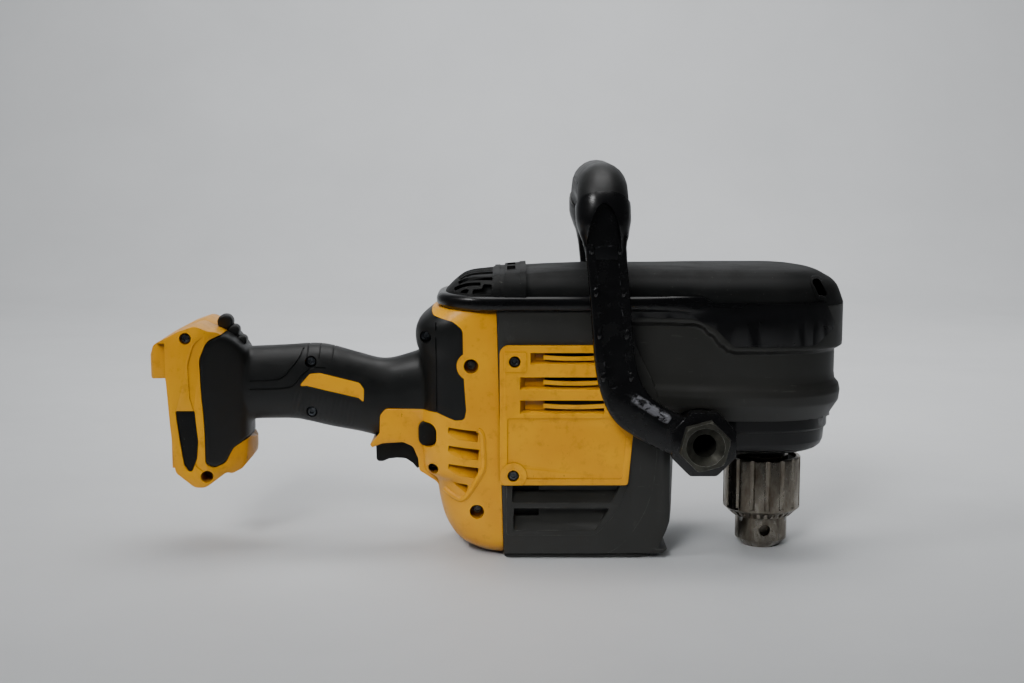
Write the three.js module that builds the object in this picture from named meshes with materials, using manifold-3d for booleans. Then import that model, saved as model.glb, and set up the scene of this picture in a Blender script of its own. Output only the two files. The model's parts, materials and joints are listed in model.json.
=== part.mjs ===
// A cordless stud and joist drill: an in-line handle behind an upright motor, a spur gear
// train running forward to a vertical spindle with a keyed chuck, and a bail handle over the top.
// Millimetres. X runs forward to the chuck, Y to the far side and Z up. The origin is on the
// bench, under the middle of the flat base that the drill stands on.
import * as THREE from "three";
import { mergeVertices } from "three/addons/utils/BufferGeometryUtils.js";
import Module from "manifold-3d";

const wasm = await Module();
wasm.setup();

// Clearances and walls
const fit = 0.3; // gap between two pieces that touch
const runningGap = 0.5; // gap round a piece that turns or slides
const overrun = 1; // how far a cutter passes what it cuts
const wall = 3; // motor housing
const coverWall = 2.5; // nose cover and top cover
const shellWall = 2.6; // rear shells
const skin = 2.4; // rubber overmould
const edgeBreak = 1.2; // bevel on moulded edges
const cornerSteps = 2;
const weld = 1e-4;

// Motor housing, the upright box on the base
const seamTopX = -68; // seam to the rear shells, at the top
const bodyFront = 63;
const bodyHalf = 47;
const bodyCorner = 12;
const baseThick = 4;
const baseTop = baseThick + fit;
const motorX = 0;

// Head over the spindle
const spindleX = 135;
const noseReach = 59.6; // from the spindle axis to the front
const headHalf = 54;
const caseBottom = 76; // underside of the gear case
const coverBottom = 99; // below this the gear case shows
const noseX = spindleX + noseReach;

// Band and top cover
const bandBottom = 187;
const bandTop = 203;
const capBottom = 189;
const capHigh = 28.5;
const capRear = -108.5;
const capRound = 36; // plan radius of the cover's rear corners
const bandBulge = 5; // how far the band stands out at the rear and sides
const fieldBulge = 1.6; // how far the blank side field stands out of the head
const shellTop = bandBottom - fit;
const coverTop = capBottom - fit;

// Rear handle, foot and shoulder
const footRear = -325;
const footFront = -251;
const footLow = 53;
const footHigh = 173;
const footHalf = 40;
const gripRear = -262;
const gripFront = -114;
const gripLow = 84;
const gripHigh = 156;
const gripHalf = 21;
const guardHalf = 22;
const shoulderStep = 1; // how far the shoulder lies inside the motor housing's side
const shoulderHalf = bodyHalf - shoulderStep;

// Bail handle and its pivot
const pivotX = 81.5;
const pivotZ = 92;
const bossY = 59.6; // outer face of the gear case's pivot boss
const armThick = 12;
const armWide = 27;
const barX = 8;
const barZ = 274;
const bailGripRadius = 19.5;

// Chuck
const noseRadius = 19.7;
const noseHigh = 24;
const sleeveRadius = 29.2;
const sleeveHigh = 47;
const sleeveTop = noseHigh + sleeveHigh;

// Gear train: modules, teeth and the heights of the three meshes
const fineModule = 1.5;
const coarseModule = 2;
const motorTeeth = 10;
const firstTeeth = 34;
const secondPinionTeeth = 12;
const secondTeeth = 30;
const thirdPinionTeeth = 21;
const spindleTeeth = 39;
const firstMesh = { low: 150, high: 158 };
const secondMesh = { low: 136, high: 146 };
const thirdMesh = { low: 114, high: 130 };
const shaftOneX = motorX + (fineModule * (motorTeeth + firstTeeth)) / 2;
const shaftTwoX = shaftOneX + (coarseModule * (secondPinionTeeth + secondTeeth)) / 2;

// Turns a closed geometry into a solid, whichever way its faces point.
function solid(geometry) {
  const loose = geometry.index ? geometry.toNonIndexed() : geometry;
  const bare = new THREE.BufferGeometry().setAttribute("position", loose.getAttribute("position"));
  const merged = mergeVertices(bare, weld);
  const vertProperties = merged.attributes.position.array;
  const index = merged.index.array;
  const kept = [];
  for (let i = 0; i < index.length; i += 3) {
    const [a, b, c] = [index[i], index[i + 1], index[i + 2]];
    if (a !== b && b !== c && a !== c) kept.push(a, b, c);
  }
  const make = (triangles) =>
    new wasm.Manifold(new wasm.Mesh({ numProp: 3, vertProperties, triVerts: new Uint32Array(triangles) }));
  const made = make(kept);
  return made.volume() < 0 ? make(kept.reverse()) : made;
}

// Outline points given as shares of a box, with the corner radius as a share of one radius.
function placed(shares, x0, x1, z0, z1, radius = 0) {
  return shares.map(([u, v, r = 1]) => [x0 + (x1 - x0) * u, z0 + (z1 - z0) * v, radius * r]);
}

// A closed outline with each corner rounded by the third number of its point.
const trimShare = 0.49; // the most that a rounding takes of an edge
function outline(corners) {
  const shape = new THREE.Path();
  corners.forEach(([x, y, radius = 0], i) => {
    const corner = new THREE.Vector2(x, y);
    const [before, after] = [corners.at(i - 1), corners[(i + 1) % corners.length]].map(
      ([px, py]) => new THREE.Vector2(px, py).sub(corner),
    );
    const trim = Math.min(radius, before.length() * trimShare, after.length() * trimShare);
    const start = corner.clone().addScaledVector(before.normalize(), trim);
    const end = corner.clone().addScaledVector(after.normalize(), trim);
    if (i === 0) shape.moveTo(start.x, start.y);
    else shape.lineTo(start.x, start.y);
    if (trim > 0) shape.quadraticCurveTo(x, y, end.x, end.y);
  });
  return shape.getPoints(cornerSteps);
}

// The same corners moved outwards by a distance, edge by edge.
function grown(corners, distance) {
  const area = corners.reduce((sum, [x, y], i) => {
    const [nx, ny] = corners[(i + 1) % corners.length];
    return sum + x * ny - nx * y;
  }, 0);
  const side = Math.sign(area) * distance;
  return corners.map(([x, y, radius = 0], i) => {
    const [bx, by] = corners.at(i - 1);
    const [ax, ay] = corners[(i + 1) % corners.length];
    const into = new THREE.Vector2(x - bx, y - by).normalize();
    const out = new THREE.Vector2(ax - x, ay - y).normalize();
    const bisector = new THREE.Vector2(into.y + out.y, -into.x - out.x);
    const reach = (2 * side) / bisector.lengthSq();
    return [x + bisector.x * reach, y + bisector.y * reach, Math.max(radius / 4, radius + distance)];
  });
}

// A prism over layers of one outline, each a list of points and its height.
function stacked(layers) {
  const count = layers[0][0].length;
  const vertices = layers.flatMap(([points, z]) => points.flatMap((p) => [p.x, p.y, z]));
  const triangles = [];
  for (let layer = 0; layer + 1 < layers.length; layer++) {
    for (let i = 0; i < count; i++) {
      const [a, b] = [layer * count + i, layer * count + ((i + 1) % count)];
      triangles.push(a, b, b + count, a, b + count, a + count);
    }
  }
  const last = (layers.length - 1) * count;
  const clockwise = THREE.ShapeUtils.isClockWise(layers[0][0]);
  for (const [a, b, c] of THREE.ShapeUtils.triangulateShape(layers[0][0], [])) {
    triangles.push(...(clockwise ? [a, b, c] : [a, c, b]));
    triangles.push(...(clockwise ? [last + a, last + c, last + b] : [last + a, last + b, last + c]));
  }
  const geometry = new THREE.BufferGeometry();
  geometry.setAttribute("position", new THREE.Float32BufferAttribute(vertices, 3));
  return geometry.setIndex(triangles);
}

function extrusion(corners, depth, bevel) {
  const full = outline(corners);
  if (bevel === 0) return stacked([[full, 0], [full, depth]]);
  const narrow = outline(grown(corners, -bevel));
  return stacked([[narrow, 0], [full, bevel], [full, depth - bevel], [narrow, depth]]);
}

// An outline in X and Z, extruded across the tool from one Y to another.
function across(corners, nearY, farY, bevel = 0) {
  return solid(extrusion(corners, farY - nearY, bevel).rotateX(Math.PI / 2).translate(0, farY, 0));
}

// An outline in X and Y, extruded upwards.
function upright(corners, lowZ, highZ, bevel = 0) {
  return solid(extrusion(corners, highZ - lowZ, bevel).translate(0, 0, lowZ));
}

// An outline in Y and Z, extruded along the tool.
function along(corners, rearX, frontX) {
  const flat = extrusion(corners, frontX - rearX, 0);
  return solid(flat.rotateZ(Math.PI / 2).rotateY(Math.PI / 2).translate(rearX, 0, 0));
}

function block(x0, x1, y0, y1, z0, z1) {
  const geometry = new THREE.BoxGeometry(x1 - x0, y1 - y0, z1 - z0);
  return solid(geometry.translate((x0 + x1) / 2, (y0 + y1) / 2, (z0 + z1) / 2));
}

const plate = (x0, x1, half, frontRound, rearRound) => [
  [x0, -half, rearRound],
  [x1, -half, frontRound],
  [x1, half, frontRound],
  [x0, half, rearRound],
];

function rodUp(radius, x, y, lowZ, highZ, sides = 16) {
  const geometry = new THREE.CylinderGeometry(radius, radius, highZ - lowZ, sides).rotateX(Math.PI / 2);
  return solid(geometry.translate(x, y, (lowZ + highZ) / 2));
}

function rodAcross(radius, x, z, nearY, farY, sides = 20, farRadius = radius) {
  const geometry = new THREE.CylinderGeometry(farRadius, radius, farY - nearY, sides);
  return solid(geometry.translate(x, (nearY + farY) / 2, z));
}

// A profile of radius and height turned about an upright axis.
function turned(profile, x, sides = 32) {
  const points = [...profile, profile[0]].map(([r, z]) => new THREE.Vector2(r, z));
  return solid(new THREE.LatheGeometry(points, sides).rotateX(Math.PI / 2).translate(x, 0, 0));
}

function ringUp(outer, inner, x, lowZ, highZ, sides = 32) {
  return turned([[inner, lowZ], [outer, lowZ], [outer, highZ], [inner, highZ]], x, sides);
}

// A skin over rings of equal point counts, closed at both ends.
function loft(rings) {
  const count = rings[0].length;
  const middle = (ring) => [0, 1, 2].map((k) => ring.reduce((sum, p) => sum + p[k], 0) / count);
  const points = [...rings.flat(), middle(rings[0]), middle(rings.at(-1))];
  const triangles = [];
  for (let j = 0; j < count; j++) {
    const next = (j + 1) % count;
    for (let i = 0; i + 1 < rings.length; i++) {
      const [a, b, c, d] = [i * count + j, i * count + next, (i + 1) * count + j, (i + 1) * count + next];
      triangles.push(a, b, d, a, d, c);
    }
    const last = (rings.length - 1) * count;
    triangles.push(points.length - 2, next, j, points.length - 1, last + j, last + next);
  }
  const geometry = new THREE.BufferGeometry();
  geometry.setAttribute("position", new THREE.Float32BufferAttribute(points.flat(), 3));
  return solid(geometry.setIndex(triangles));
}

const together = (...solids) => solids.reduce((a, b) => a.add(b));
const without = (body, ...cutters) => cutters.reduce((a, b) => a.subtract(b), body);
const mirrorY = (made) => made.mirror([0, 1, 0]);
const bothSides = (made) => made.add(mirrorY(made));

// The one large body of a solid, without slivers that cuts leave at its rim.
const mainBody = (made) => made.decompose().sort((a, b) => b.volume() - a.volume())[0];

// Larger than the tool in every direction, for cutters.
const beyond = 2 * (noseX - footRear);
const nearSpace = block(-beyond, beyond, -beyond, -fit / 2, -beyond, beyond);
const farSpace = block(-beyond, beyond, fit / 2, beyond, -beyond, beyond);
const throughCut = (corners) => across(corners, -beyond, beyond);

// Plan outline that is round at the rear, swells to the head and ends in an elliptical nose.
const rearArcSteps = 3;
const swellSteps = 2;
const noseArcSteps = 5;
const noseSquareness = 1.15;
const swellFrom = 40;
const swellTo = 95;
function planRing({ rear, rearHalf, round, half, front, nose }, z) {
  const side = [];
  for (let i = 0; i <= rearArcSteps; i++) {
    const turn = (Math.PI / 2) * (i / rearArcSteps);
    side.push([rear + round * (1 - Math.cos(turn)), rearHalf - round * (1 - Math.sin(turn))]);
  }
  for (let i = 0; i <= swellSteps; i++) {
    const t = i / swellSteps;
    side.push([swellFrom + (swellTo - swellFrom) * t, rearHalf + (half - rearHalf) * t * t * (3 - 2 * t)]);
  }
  for (let i = 0; i <= noseArcSteps; i++) {
    const turn = (Math.PI / 2) * (i / noseArcSteps);
    const narrowing = i === noseArcSteps ? 0 : Math.cos(turn) ** (1 / noseSquareness);
    side.push([front - nose + nose * Math.sin(turn), half * narrowing]);
  }
  const other = side.slice(0, -1).reverse().map(([x, y]) => [x, -y]);
  return [...side, ...other].map(([x, y]) => [x, y, z]);
}

// Motor housing: side outline, also the line where the nose cover and rear shells meet it.
const housingShares = [
  [0.038, 0, 0],
  [0.9, 0, 1],
  [0.985, 0.13, 1],
  [1, 0.378, 0.5],
  [0.977, 0.56, 0.5],
  [0.916, 0.59, 0.5],
  [0.885, 0.68, 1],
  [0.77, 0.85, 1],
  [0.725, 1, 0],
  [0, 1, 0],
];
const housingRound = 8;
const housingSide = placed(housingShares, seamTopX, bodyFront, baseTop, coverTop, housingRound);
const seatZ = 109.7; // ledge that carries the gear case
const statorRadius = 36;
const statorLow = 54;
const statorHigh = 98;
const webThick = 4;
const louvreShares = [
  [0, 0, 1],
  [0.86, 0, 1],
  [1, 1, 1],
  [0, 1, 1],
];
const louvreRear = -56;
const louvreFront = 24;
const louvreLow = 21;
const louvreHigh = 36;
const louvrePitch = 17.5;
const louvreStep = 7; // each louvre reaches further forward than the one below
const louvreRound = 3;
const louvreDeep = 9.5; // from the housing's side to the back of a louvre
const louvreGap = 4.5; // open height at the back of a louvre
const louvreFrame = 4; // wall round the louvres, inside the housing

// One louvre on the near side: its floor rises inwards to an open gap under its top edge
function louvre(low, step) {
  const high = low + louvreHigh - louvreLow;
  const side = placed(louvreShares, louvreRear, louvreFront + step, low, high, louvreRound);
  const mouth = -bodyHalf - overrun;
  const back = louvreDeep - bodyHalf;
  const profile = [
    [mouth, low],
    [-bodyHalf, low],
    [back, high - louvreGap],
    [back + overrun, high - louvreGap],
    [back + overrun, high],
    [mouth, high],
  ];
  return throughCut(side).intersect(along(profile, -beyond, beyond));
}

function motorHousing() {
  const inner = bodyHalf - wall;
  const outer = across(housingSide, -bodyHalf, bodyHalf);
  const corners = upright(plate(seamTopX - overrun, bodyFront, bodyHalf, bodyCorner, 0), 0, capBottom);
  const hollow = across(grown(housingSide, -wall), -inner, inner).intersect(
    upright(plate(seamTopX, bodyFront - wall, inner, bodyCorner - wall, wall), 0, capBottom),
  );
  const headOpening = block(seamTopX + 2 * wall, bodyFront + overrun, -inner, inner, seatZ, beyond);
  const baseOpening = upright(
    plate(motorX - statorRadius, motorX + statorRadius, statorRadius, bodyCorner, bodyCorner),
    0,
    statorLow,
  );
  const { rear, front, low, high } = bayBox;
  const window = block(rear - fit, front + fit, -beyond, beyond, low - fit, high + fit);
  const louvres = [0, 1].map((i) => louvre(louvreLow + louvrePitch * i, louvreStep * (i - 1)));
  const back = block(
    louvreRear - louvreFrame,
    louvreFront + louvreFrame,
    -bodyHalf,
    louvreDeep - bodyHalf,
    louvreLow - louvreFrame,
    louvreHigh + louvrePitch + louvreFrame,
  );
  const holes = Object.values(panelScrews).map(({ x, z }) =>
    rodAcross(screw.shank + fit, x, z, -beyond, beyond, 8),
  );
  const body = outer.intersect(corners);
  const walls = together(body.subtract(hollow), bothSides(back).intersect(body));
  const openings = [headOpening, baseOpening, window, ...louvres.map(bothSides), ...holes];
  const shell = without(walls, ...openings);
  const webOutline = plate(seamTopX + 2 * wall, bodyFront - wall / 2, inner + wall / 2, bodyCorner, wall);
  const webs = [
    [statorLow + webThick, statorRadius + fit],
    [statorHigh, statorRadius + fit],
    [seatZ, statorRadius - wall],
  ].map(([top, hole]) =>
    upright(webOutline, top - webThick, top).subtract(rodUp(hole, motorX, 0, 0, beyond, 20)),
  );
  return mainBody(together(shell, ...webs.map((web) => web.intersect(body))));
}

// Base cap, with the cup of the lower motor bearing
const baseRear = housingSide[0][0] + fit;
const baseFront = 49;
const baseHalf = 44;
const bearingCup = { radius: 11.5, floor: 8, bore: 8, high: 7, shaft: 4 };

function baseCap() {
  const { radius, floor, bore, high } = bearingCup;
  const sole = upright(plate(baseRear, baseFront, baseHalf, bodyCorner, wall), 0, baseThick, edgeBreak);
  const cup = rodUp(radius, motorX, 0, baseThick / 2, floor + high);
  const hole = rodUp(bore + fit, motorX, 0, floor, beyond);
  return without(together(sole, cup), hole);
}

// A bearing: its outer and shaft radius, place, and the heights that it seats between
function bearing(outer, shaft, x, lowZ, highZ) {
  return ringUp(outer, shaft + fit, x, lowZ + fit, highZ, 16);
}

// Head surface: height shares from its foot to its top, and shares of the waist's depth.
const waistInset = 5.7;
const headShares = [
  [0, 1.15],
  [0.12, 0.8],
  [0.2, 0.3],
  [0.23, 0.18],
  [0.33, 0.18],
  [0.37, 0.4],
  [0.43, 1],
  [0.6, 1],
  [0.65, 0.3],
  [0.68, 0],
  [1, 0],
];
const headInnerShares = [
  [0, 1.15],
  [0.6, 1.15],
  [0.68, 0.1],
  [1, 0],
];
const headRear = 20;
const headRound = 1;

function headForm(shares, inset, lowZ, highZ) {
  const rings = shares.map(([heightShare, depthShare]) => {
    const depth = inset + waistInset * depthShare;
    const z = coverBottom + (coverTop - coverBottom) * heightShare;
    return planRing(
      {
        rear: headRear,
        rearHalf: bodyHalf - inset,
        round: headRound,
        half: headHalf - depth,
        front: noseX - depth,
        nose: noseReach - depth,
      },
      heightShare === 0 ? lowZ : heightShare === 1 ? highZ : z,
    );
  });
  return loft(rings);
}

// Gear case: an open-topped casting with a floor that steps up over the motor
const caseRear = -38;
const caseInset = 9.6;
const caseWall = 2.8;
const caseTop = 162;
const caseFloor = 114; // inside, over the motor
const headFloor = 92; // inside, at the spindle
const stepX = bodyFront + fit;
const skirtShares = [
  [0, 3],
  [0.18, 2.1],
  [0.52, 1.12],
  [1, 1],
];
const skirtInset = 7.6;
const bossRadius = 22.5;
const bossRoot = 36; // half width where the pivot bosses begin
const boltRadius = 11.5;
const boltTipY = 43.5;
const spindleRadius = 8;
const spindleBearingRadius = 16;
const bearingHigh = 9;
const countershaftRadius = 5;
const pocketDeep = 3;
const pocketBoss = 9;
const motorBearing = { radius: 11, high: 7 };

const casePlan = (inset, thick = 0) => ({
  rear: caseRear + thick,
  rearHalf: bodyHalf - caseInset - thick,
  round: bodyCorner - thick,
  half: headHalf - inset - thick,
  front: noseX - inset - thick,
  nose: noseReach - inset - thick,
});
const prism = (plan, lowZ, highZ) => loft([planRing(plan, lowZ), planRing(plan, highZ)]);

function gearCase() {
  const skirtTop = coverBottom - fit;
  const skirt = skirtShares.map(([heightShare, insetShare]) =>
    planRing(casePlan(skirtInset * insetShare), caseBottom + (skirtTop - caseBottom) * heightShare),
  );
  const upper = [skirtTop, caseTop].map((z) => planRing(casePlan(caseInset), z));
  const outer = loft([...skirt, ...upper]);
  const boss = rodAcross(bossRadius, pivotX, pivotZ, -bossY, -bossRoot, 16);
  const overMotor = block(-beyond, stepX, -beyond, beyond, 0, seatZ + fit);
  const motorCavity = prism(casePlan(caseInset, caseWall), caseFloor, caseTop + overrun);
  const headCavity = prism(casePlan(caseInset, caseWall), headFloor, caseTop + overrun).intersect(
    block(stepX + caseWall, beyond, -beyond, beyond, 0, beyond),
  );
  const shaftBoss = rodUp(pocketBoss, shaftOneX, 0, caseFloor - overrun, caseFloor + pocketDeep);
  const shaftPocket = rodUp(countershaftRadius + fit, shaftOneX, 0, caseFloor, beyond);
  const secondPocket = rodUp(countershaftRadius + fit, shaftTwoX, 0, headFloor - pocketDeep, beyond);
  const spindlePocket = rodUp(spindleBearingRadius + fit, spindleX, 0, headFloor - bearingHigh, beyond);
  const spindleHole = rodUp(spindleRadius + 2 * runningGap, spindleX, 0, 0, beyond);
  const cupTop = caseFloor + motorBearing.high;
  const motorCup = rodUp(motorBearing.radius + wall, motorX, 0, caseFloor - overrun, cupTop);
  const motorPocket = rodUp(motorBearing.radius + fit, motorX, 0, caseFloor, beyond);
  const motorHole = rodUp(countershaftRadius + wall, motorX, 0, 0, beyond);
  const boltHole = rodAcross(boltRadius + fit, pivotX, pivotZ, -beyond, -boltTipY + fit);
  const hollow = without(together(outer, bothSides(boss)), overMotor, motorCavity, headCavity);
  return mainBody(
    without(
      together(hollow, shaftBoss, motorCup),
      shaftPocket,
      secondPocket,
      spindlePocket,
      spindleHole,
      motorPocket,
      motorHole,
      bothSides(boltHole),
    ),
  );
}

// Lid: closes the gear case and holds the upper ends of the shafts
const lidThick = 5;
const upperBearingLow = 149;

function gearCaseLid() {
  const low = caseTop + fit;
  const cover = prism(casePlan(caseInset), low, low + lidThick);
  const cup = rodUp(spindleBearingRadius + wall, spindleX, 0, upperBearingLow, low + overrun);
  const bearingSeat = rodUp(spindleBearingRadius + fit, spindleX, 0, 0, upperBearingLow + bearingHigh);
  const spindleRoom = rodUp(spindleRadius + runningGap, spindleX, 0, 0, low + lidThick - caseWall / 2);
  const pockets = [shaftOneX, shaftTwoX].map((x) =>
    rodUp(countershaftRadius + fit, x, 0, 0, low + pocketDeep),
  );
  return without(together(cover, cup), bearingSeat, spindleRoom, ...pockets);
}

// Nose cover: the moulded skirt round the gear case
function noseCover() {
  const outer = headForm(headShares, 0, coverBottom, coverTop);
  const inner = headForm(headInnerShares, coverWall, coverBottom - overrun, coverTop + overrun);
  const rear = block(-beyond, headRear + coverWall, -bodyHalf + wall, bodyHalf - wall, 0, beyond);
  const bosses = rodAcross(bossRadius + fit, pivotX, pivotZ, -beyond, beyond, 16);
  return mainBody(without(outer, inner, rear, bosses, throughCut(grown(housingSide, fit))));
}

// Top cover: shares of its height and of how far its rear, front and sides draw in
const rearSlope = 44;
const frontSlope = 33;
const sideSlope = 15;
const capShares = [
  [0, 0, 0, 0],
  [0.28, 0.01, 0.08, 0],
  [0.5, 0.14, 0.16, 0.06],
  [0.66, 0.34, 0.28, 0.24],
  [0.84, 0.62, 0.52, 0.55],
  [0.95, 0.9, 0.76, 0.8],
  [1, 1.15, 1, 1.1],
];
const saddle = { rear: -70, front: -50, proud: 1.2 };
const capSlot = { rear: -99, front: -73, low: 199, wide: 5, inner: 6, pitch: 11, count: 3 };
const noseSlot = { x: 166, z: 202, long: 13, wide: 6, lean: 5, inner: 24 };

function capForm(shares, inset) {
  return loft(
    shares.map(([heightShare, rearShare, frontShare, sideShare], i) =>
      planRing(
        {
          rear: capRear + inset + rearSlope * rearShare,
          rearHalf: bodyHalf - inset - sideSlope * sideShare,
          round: capRound - inset - sideSlope * sideShare * (capRound / bodyHalf),
          half: headHalf - inset - sideSlope * sideShare,
          front: noseX - inset - frontSlope * frontShare,
          nose: noseReach - inset - frontSlope * frontShare,
        },
        capBottom + (capHigh - inset) * heightShare - (i === 0 && inset > 0 ? overrun : 0),
      ),
    ),
  );
}

function topCover() {
  const { rear, front, proud } = saddle;
  const band = capForm(capShares, -proud).intersect(
    block(rear, front, -beyond, beyond, bandTop, capBottom + capHigh + fit),
  );
  const slots = Array.from({ length: capSlot.count }, (_, i) => {
    const y = capSlot.inner + capSlot.pitch * i;
    return bothSides(block(capSlot.rear, capSlot.front, y, y + capSlot.wide, capSlot.low, beyond));
  });
  const { x, z, long, wide, lean, inner } = noseSlot;
  const slotSide = [
    [x - wide / 2 + lean, z - long / 2, wide / 2],
    [x + wide / 2 + lean, z - long / 2, wide / 2],
    [x + wide / 2 - lean, z + long / 2, wide / 2],
    [x - wide / 2 - lean, z + long / 2, wide / 2],
  ];
  const noseSlots = bothSides(across(slotSide, -beyond, -inner));
  const hollow = capForm(capShares.filter((_, i) => i % 2 === 0), coverWall);
  return mainBody(without(together(capForm(capShares, 0), band), hollow, ...slots, noseSlots));
}

// Trim band round the cover, widening into a blank field on each side of the head
const bandShares = [
  [0, 0.62, 0],
  [0, 1, 0],
  [0.645, 1, 0.6],
  [0.68, 0.75, 0.6],
  [0.962, 0.74, 0.6],
  [1, 0.3, 1],
  [0.94, 0, 1],
  [0.735, 0, 1],
  [0.68, 0.38, 1],
  [0.64, 0.62, 1],
];
const fieldFront = 182;
const fieldLow = 161;
const bandRound = 5;

function trimBand() {
  const rear = capRear - bandBulge;
  const side = placed(bandShares, rear, fieldFront, fieldLow, bandTop, bandRound);
  const plan = (out, rearOut) => ({
    rear: capRear - rearOut,
    rearHalf: bodyHalf + rearOut,
    round: capRound + rearOut,
    half: headHalf + out,
    front: noseX + out,
    nose: noseReach + out,
  });
  const outer = prism(plan(fieldBulge, bandBulge), fieldLow, bandTop);
  const inner = prism(plan(fit, fit), fieldLow - overrun, bandTop + overrun);
  return mainBody(outer.subtract(inner).intersect(throughCut(side)));
}

// Vent panels: raised plates with three bays of two slots over a blank field
const panelShares = [
  [0, 1, 1.6],
  [0.816, 1, 0.6],
  [0.79, 0.577, 1],
  [1, 0.356, 1],
  [0.96, 0, 1],
  [0.05, 0, 1],
];
const panelRear = -66;
const panelFront = 32;
const panelLow = 57;
const panelHigh = 161;
const panelThick = 3;
const panelRound = 6;
const panelField = { rim: 4.5, deep: 0.7 }; // blank label field in the panel's lower half
const bayBox = { rear: -51, front: 12, low: 110.5, high: 157, wall: 2.5 };
const bays = { count: 3, high: 8.6, deep: 6.5, padLong: 8 }; // the screw's pad shortens the top bay
const bayFin = { rear: -33, half: 1.5, sunk: 1.3 };

// One bay: a pocket whose front half is open above and below a long fin
function ventBay(low, near, rear) {
  const front = bayBox.front - bayBox.wall;
  const high = low + bays.high;
  const middle = (low + high) / 2;
  const pocket = block(rear, front, -beyond, near + bays.deep, low, high);
  const gap = block(bayFin.rear, front, -beyond, 0, low, high);
  const { rear: finRear, half, sunk } = bayFin;
  const fin = block(finRear - overrun, front + overrun, near + sunk, 0, middle - half, middle + half);
  return together(pocket, gap).subtract(fin);
}

function ventPanel() {
  const near = -bodyHalf - fit - panelThick;
  const side = placed(panelShares, panelRear, panelFront, panelLow, panelHigh, panelRound);
  const { rear, front, low, high, wall: boxWall } = bayBox;
  const pocket = block(rear, front, near, near + bays.deep + boxWall, low, high);
  const field = placed(panelShares, panelRear, panelFront, panelLow, low, panelRound);
  const fieldCut = across(grown(field, -panelField.rim), -beyond, near + panelField.deep);
  const lowest = low + boxWall;
  const pitch = (high - boxWall - bays.high - lowest) / (bays.count - 1);
  const openings = Array.from({ length: bays.count }, (_, i) => {
    const pad = i === bays.count - 1 ? bays.padLong : 0;
    return ventBay(lowest + pitch * i, near, rear + boxWall + pad);
  });
  const screwHoles = Object.values(panelScrews).map(({ x, z }) =>
    rodAcross(screw.shank + fit, x, z, -beyond, 0, 8),
  );
  const panel = together(across(side, near, near + panelThick), pocket);
  return without(panel, fieldCut, ...openings, ...screwHoles);
}

// Screws: where they stand, the half width of the moulding there and how deep below it the heads seat
const screw = { head: 3.6, headHigh: 3, shank: 2, reach: 14, boss: 6, recess: 4.4 };
const hollowScrews = {
  shell_upper_screw: { x: -87, z: 145, half: shoulderHalf, deep: 9 },
  shell_lower_screw: { x: -83, z: 36, half: shoulderHalf, deep: 11 },
  shoulder_screw: { x: -121, z: 165, half: shoulderHalf, deep: 21 },
};
const shellScrews = {
  ...hollowScrews,
  guard_screw: { x: -115.5, z: 66, half: guardHalf, deep: 6 },
  grip_upper_screw: { x: -208, z: 144, half: gripHalf, deep: 9 },
  grip_lower_screw: { x: -208, z: 106, half: gripHalf, deep: 9 },
  foot_screw: { x: -297, z: 162, half: footHalf, deep: 6 },
};
const panelScrews = {
  panel_upper_screw: { x: -55, z: 149 },
  panel_lower_screw: { x: -56, z: 64 },
};

function screwAt(x, z, seatY, tipY) {
  const head = rodAcross(screw.head, x, z, -seatY - screw.headHigh, -seatY, 8);
  return together(head, rodAcross(screw.shank, x, z, -seatY - fit, tipY, 6));
}

// Handle: shares along the grip of its underside, its top and its half width
const gripShares = [
  [-0.04, 0.19, 0.96, 0.95],
  [0.24, 0.2, 0.985, 0.97],
  [0.35, 0.167, 1, 1],
  [0.45, 0.118, 0.985, 1],
  [0.6, 0.06, 0.9, 0.95],
  [0.73, 0, 0.84, 0.93],
  [0.865, 0, 0.9, 1.08],
  [1.06, -0.05, 1.05, 1.35],
];
const gripSides = 12;
const gripSquareness = 2.4;

function gripForm(grow) {
  const rings = gripShares.map(([alongShare, lowShare, highShare, halfShare]) => {
    const x = gripRear + (gripFront - gripRear) * alongShare;
    const low = gripLow + (gripHigh - gripLow) * lowShare - grow;
    const high = gripLow + (gripHigh - gripLow) * highShare + grow;
    const half = gripHalf * halfShare + grow;
    return Array.from({ length: gripSides }, (_, i) => {
      const turn = (2 * Math.PI * i) / gripSides;
      const squared = (value) => Math.sign(value) * Math.abs(value) ** (2 / gripSquareness);
      return [
        x,
        half * squared(Math.cos(turn)),
        (low + high) / 2 + ((high - low) / 2) * squared(Math.sin(turn)),
      ];
    });
  });
  return loft(rings);
}

// Shoulder and leg: height shares and the rear edge as a share of the shoulder's depth
const shoulderRear = -124;
const shoulderFront = -60;
const legLow = 3;
const legShares = [
  [0, 0.44, 0.8],
  [0.04, 0.6, 0.95],
  [0.19, 0.8, 1],
  [0.29, 0.84, 1],
  [0.33, 1.03, 1],
  [0.78, 1.02, 1],
  [0.85, 1.08, 1],
  [0.93, 1.06, 1],
  [1, 0.85, 0.96],
];
const shoulderNose = 34; // half width at the shoulder's rear end
const shoulderSteps = 4;

function shoulderForm(grow, shares = legShares) {
  const high = shellTop + grow;
  const low = legLow - grow;
  return loft(
    shares.map(([heightShare, rearShare, halfShare]) => {
      const rear = shoulderFront + (shoulderRear - shoulderFront) * rearShare - grow;
      const half = shoulderHalf * halfShare + grow;
      const round = Math.min(shoulderNose, shoulderFront - rear - edgeBreak);
      const side = Array.from({ length: shoulderSteps + 1 }, (_, i) => {
        const turn = (Math.PI / 2) * (i / shoulderSteps);
        const flat = half - shoulderNose;
        return [rear + round * (1 - Math.cos(turn)), flat + shoulderNose * Math.sin(turn)];
      });
      side.push([shoulderFront, half]);
      const other = [...side].reverse().map(([x, y]) => [x, -y]);
      return [...side, ...other].map(([x, y]) => [x, y, low + (high - low) * heightShare]);
    }),
  );
}

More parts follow.
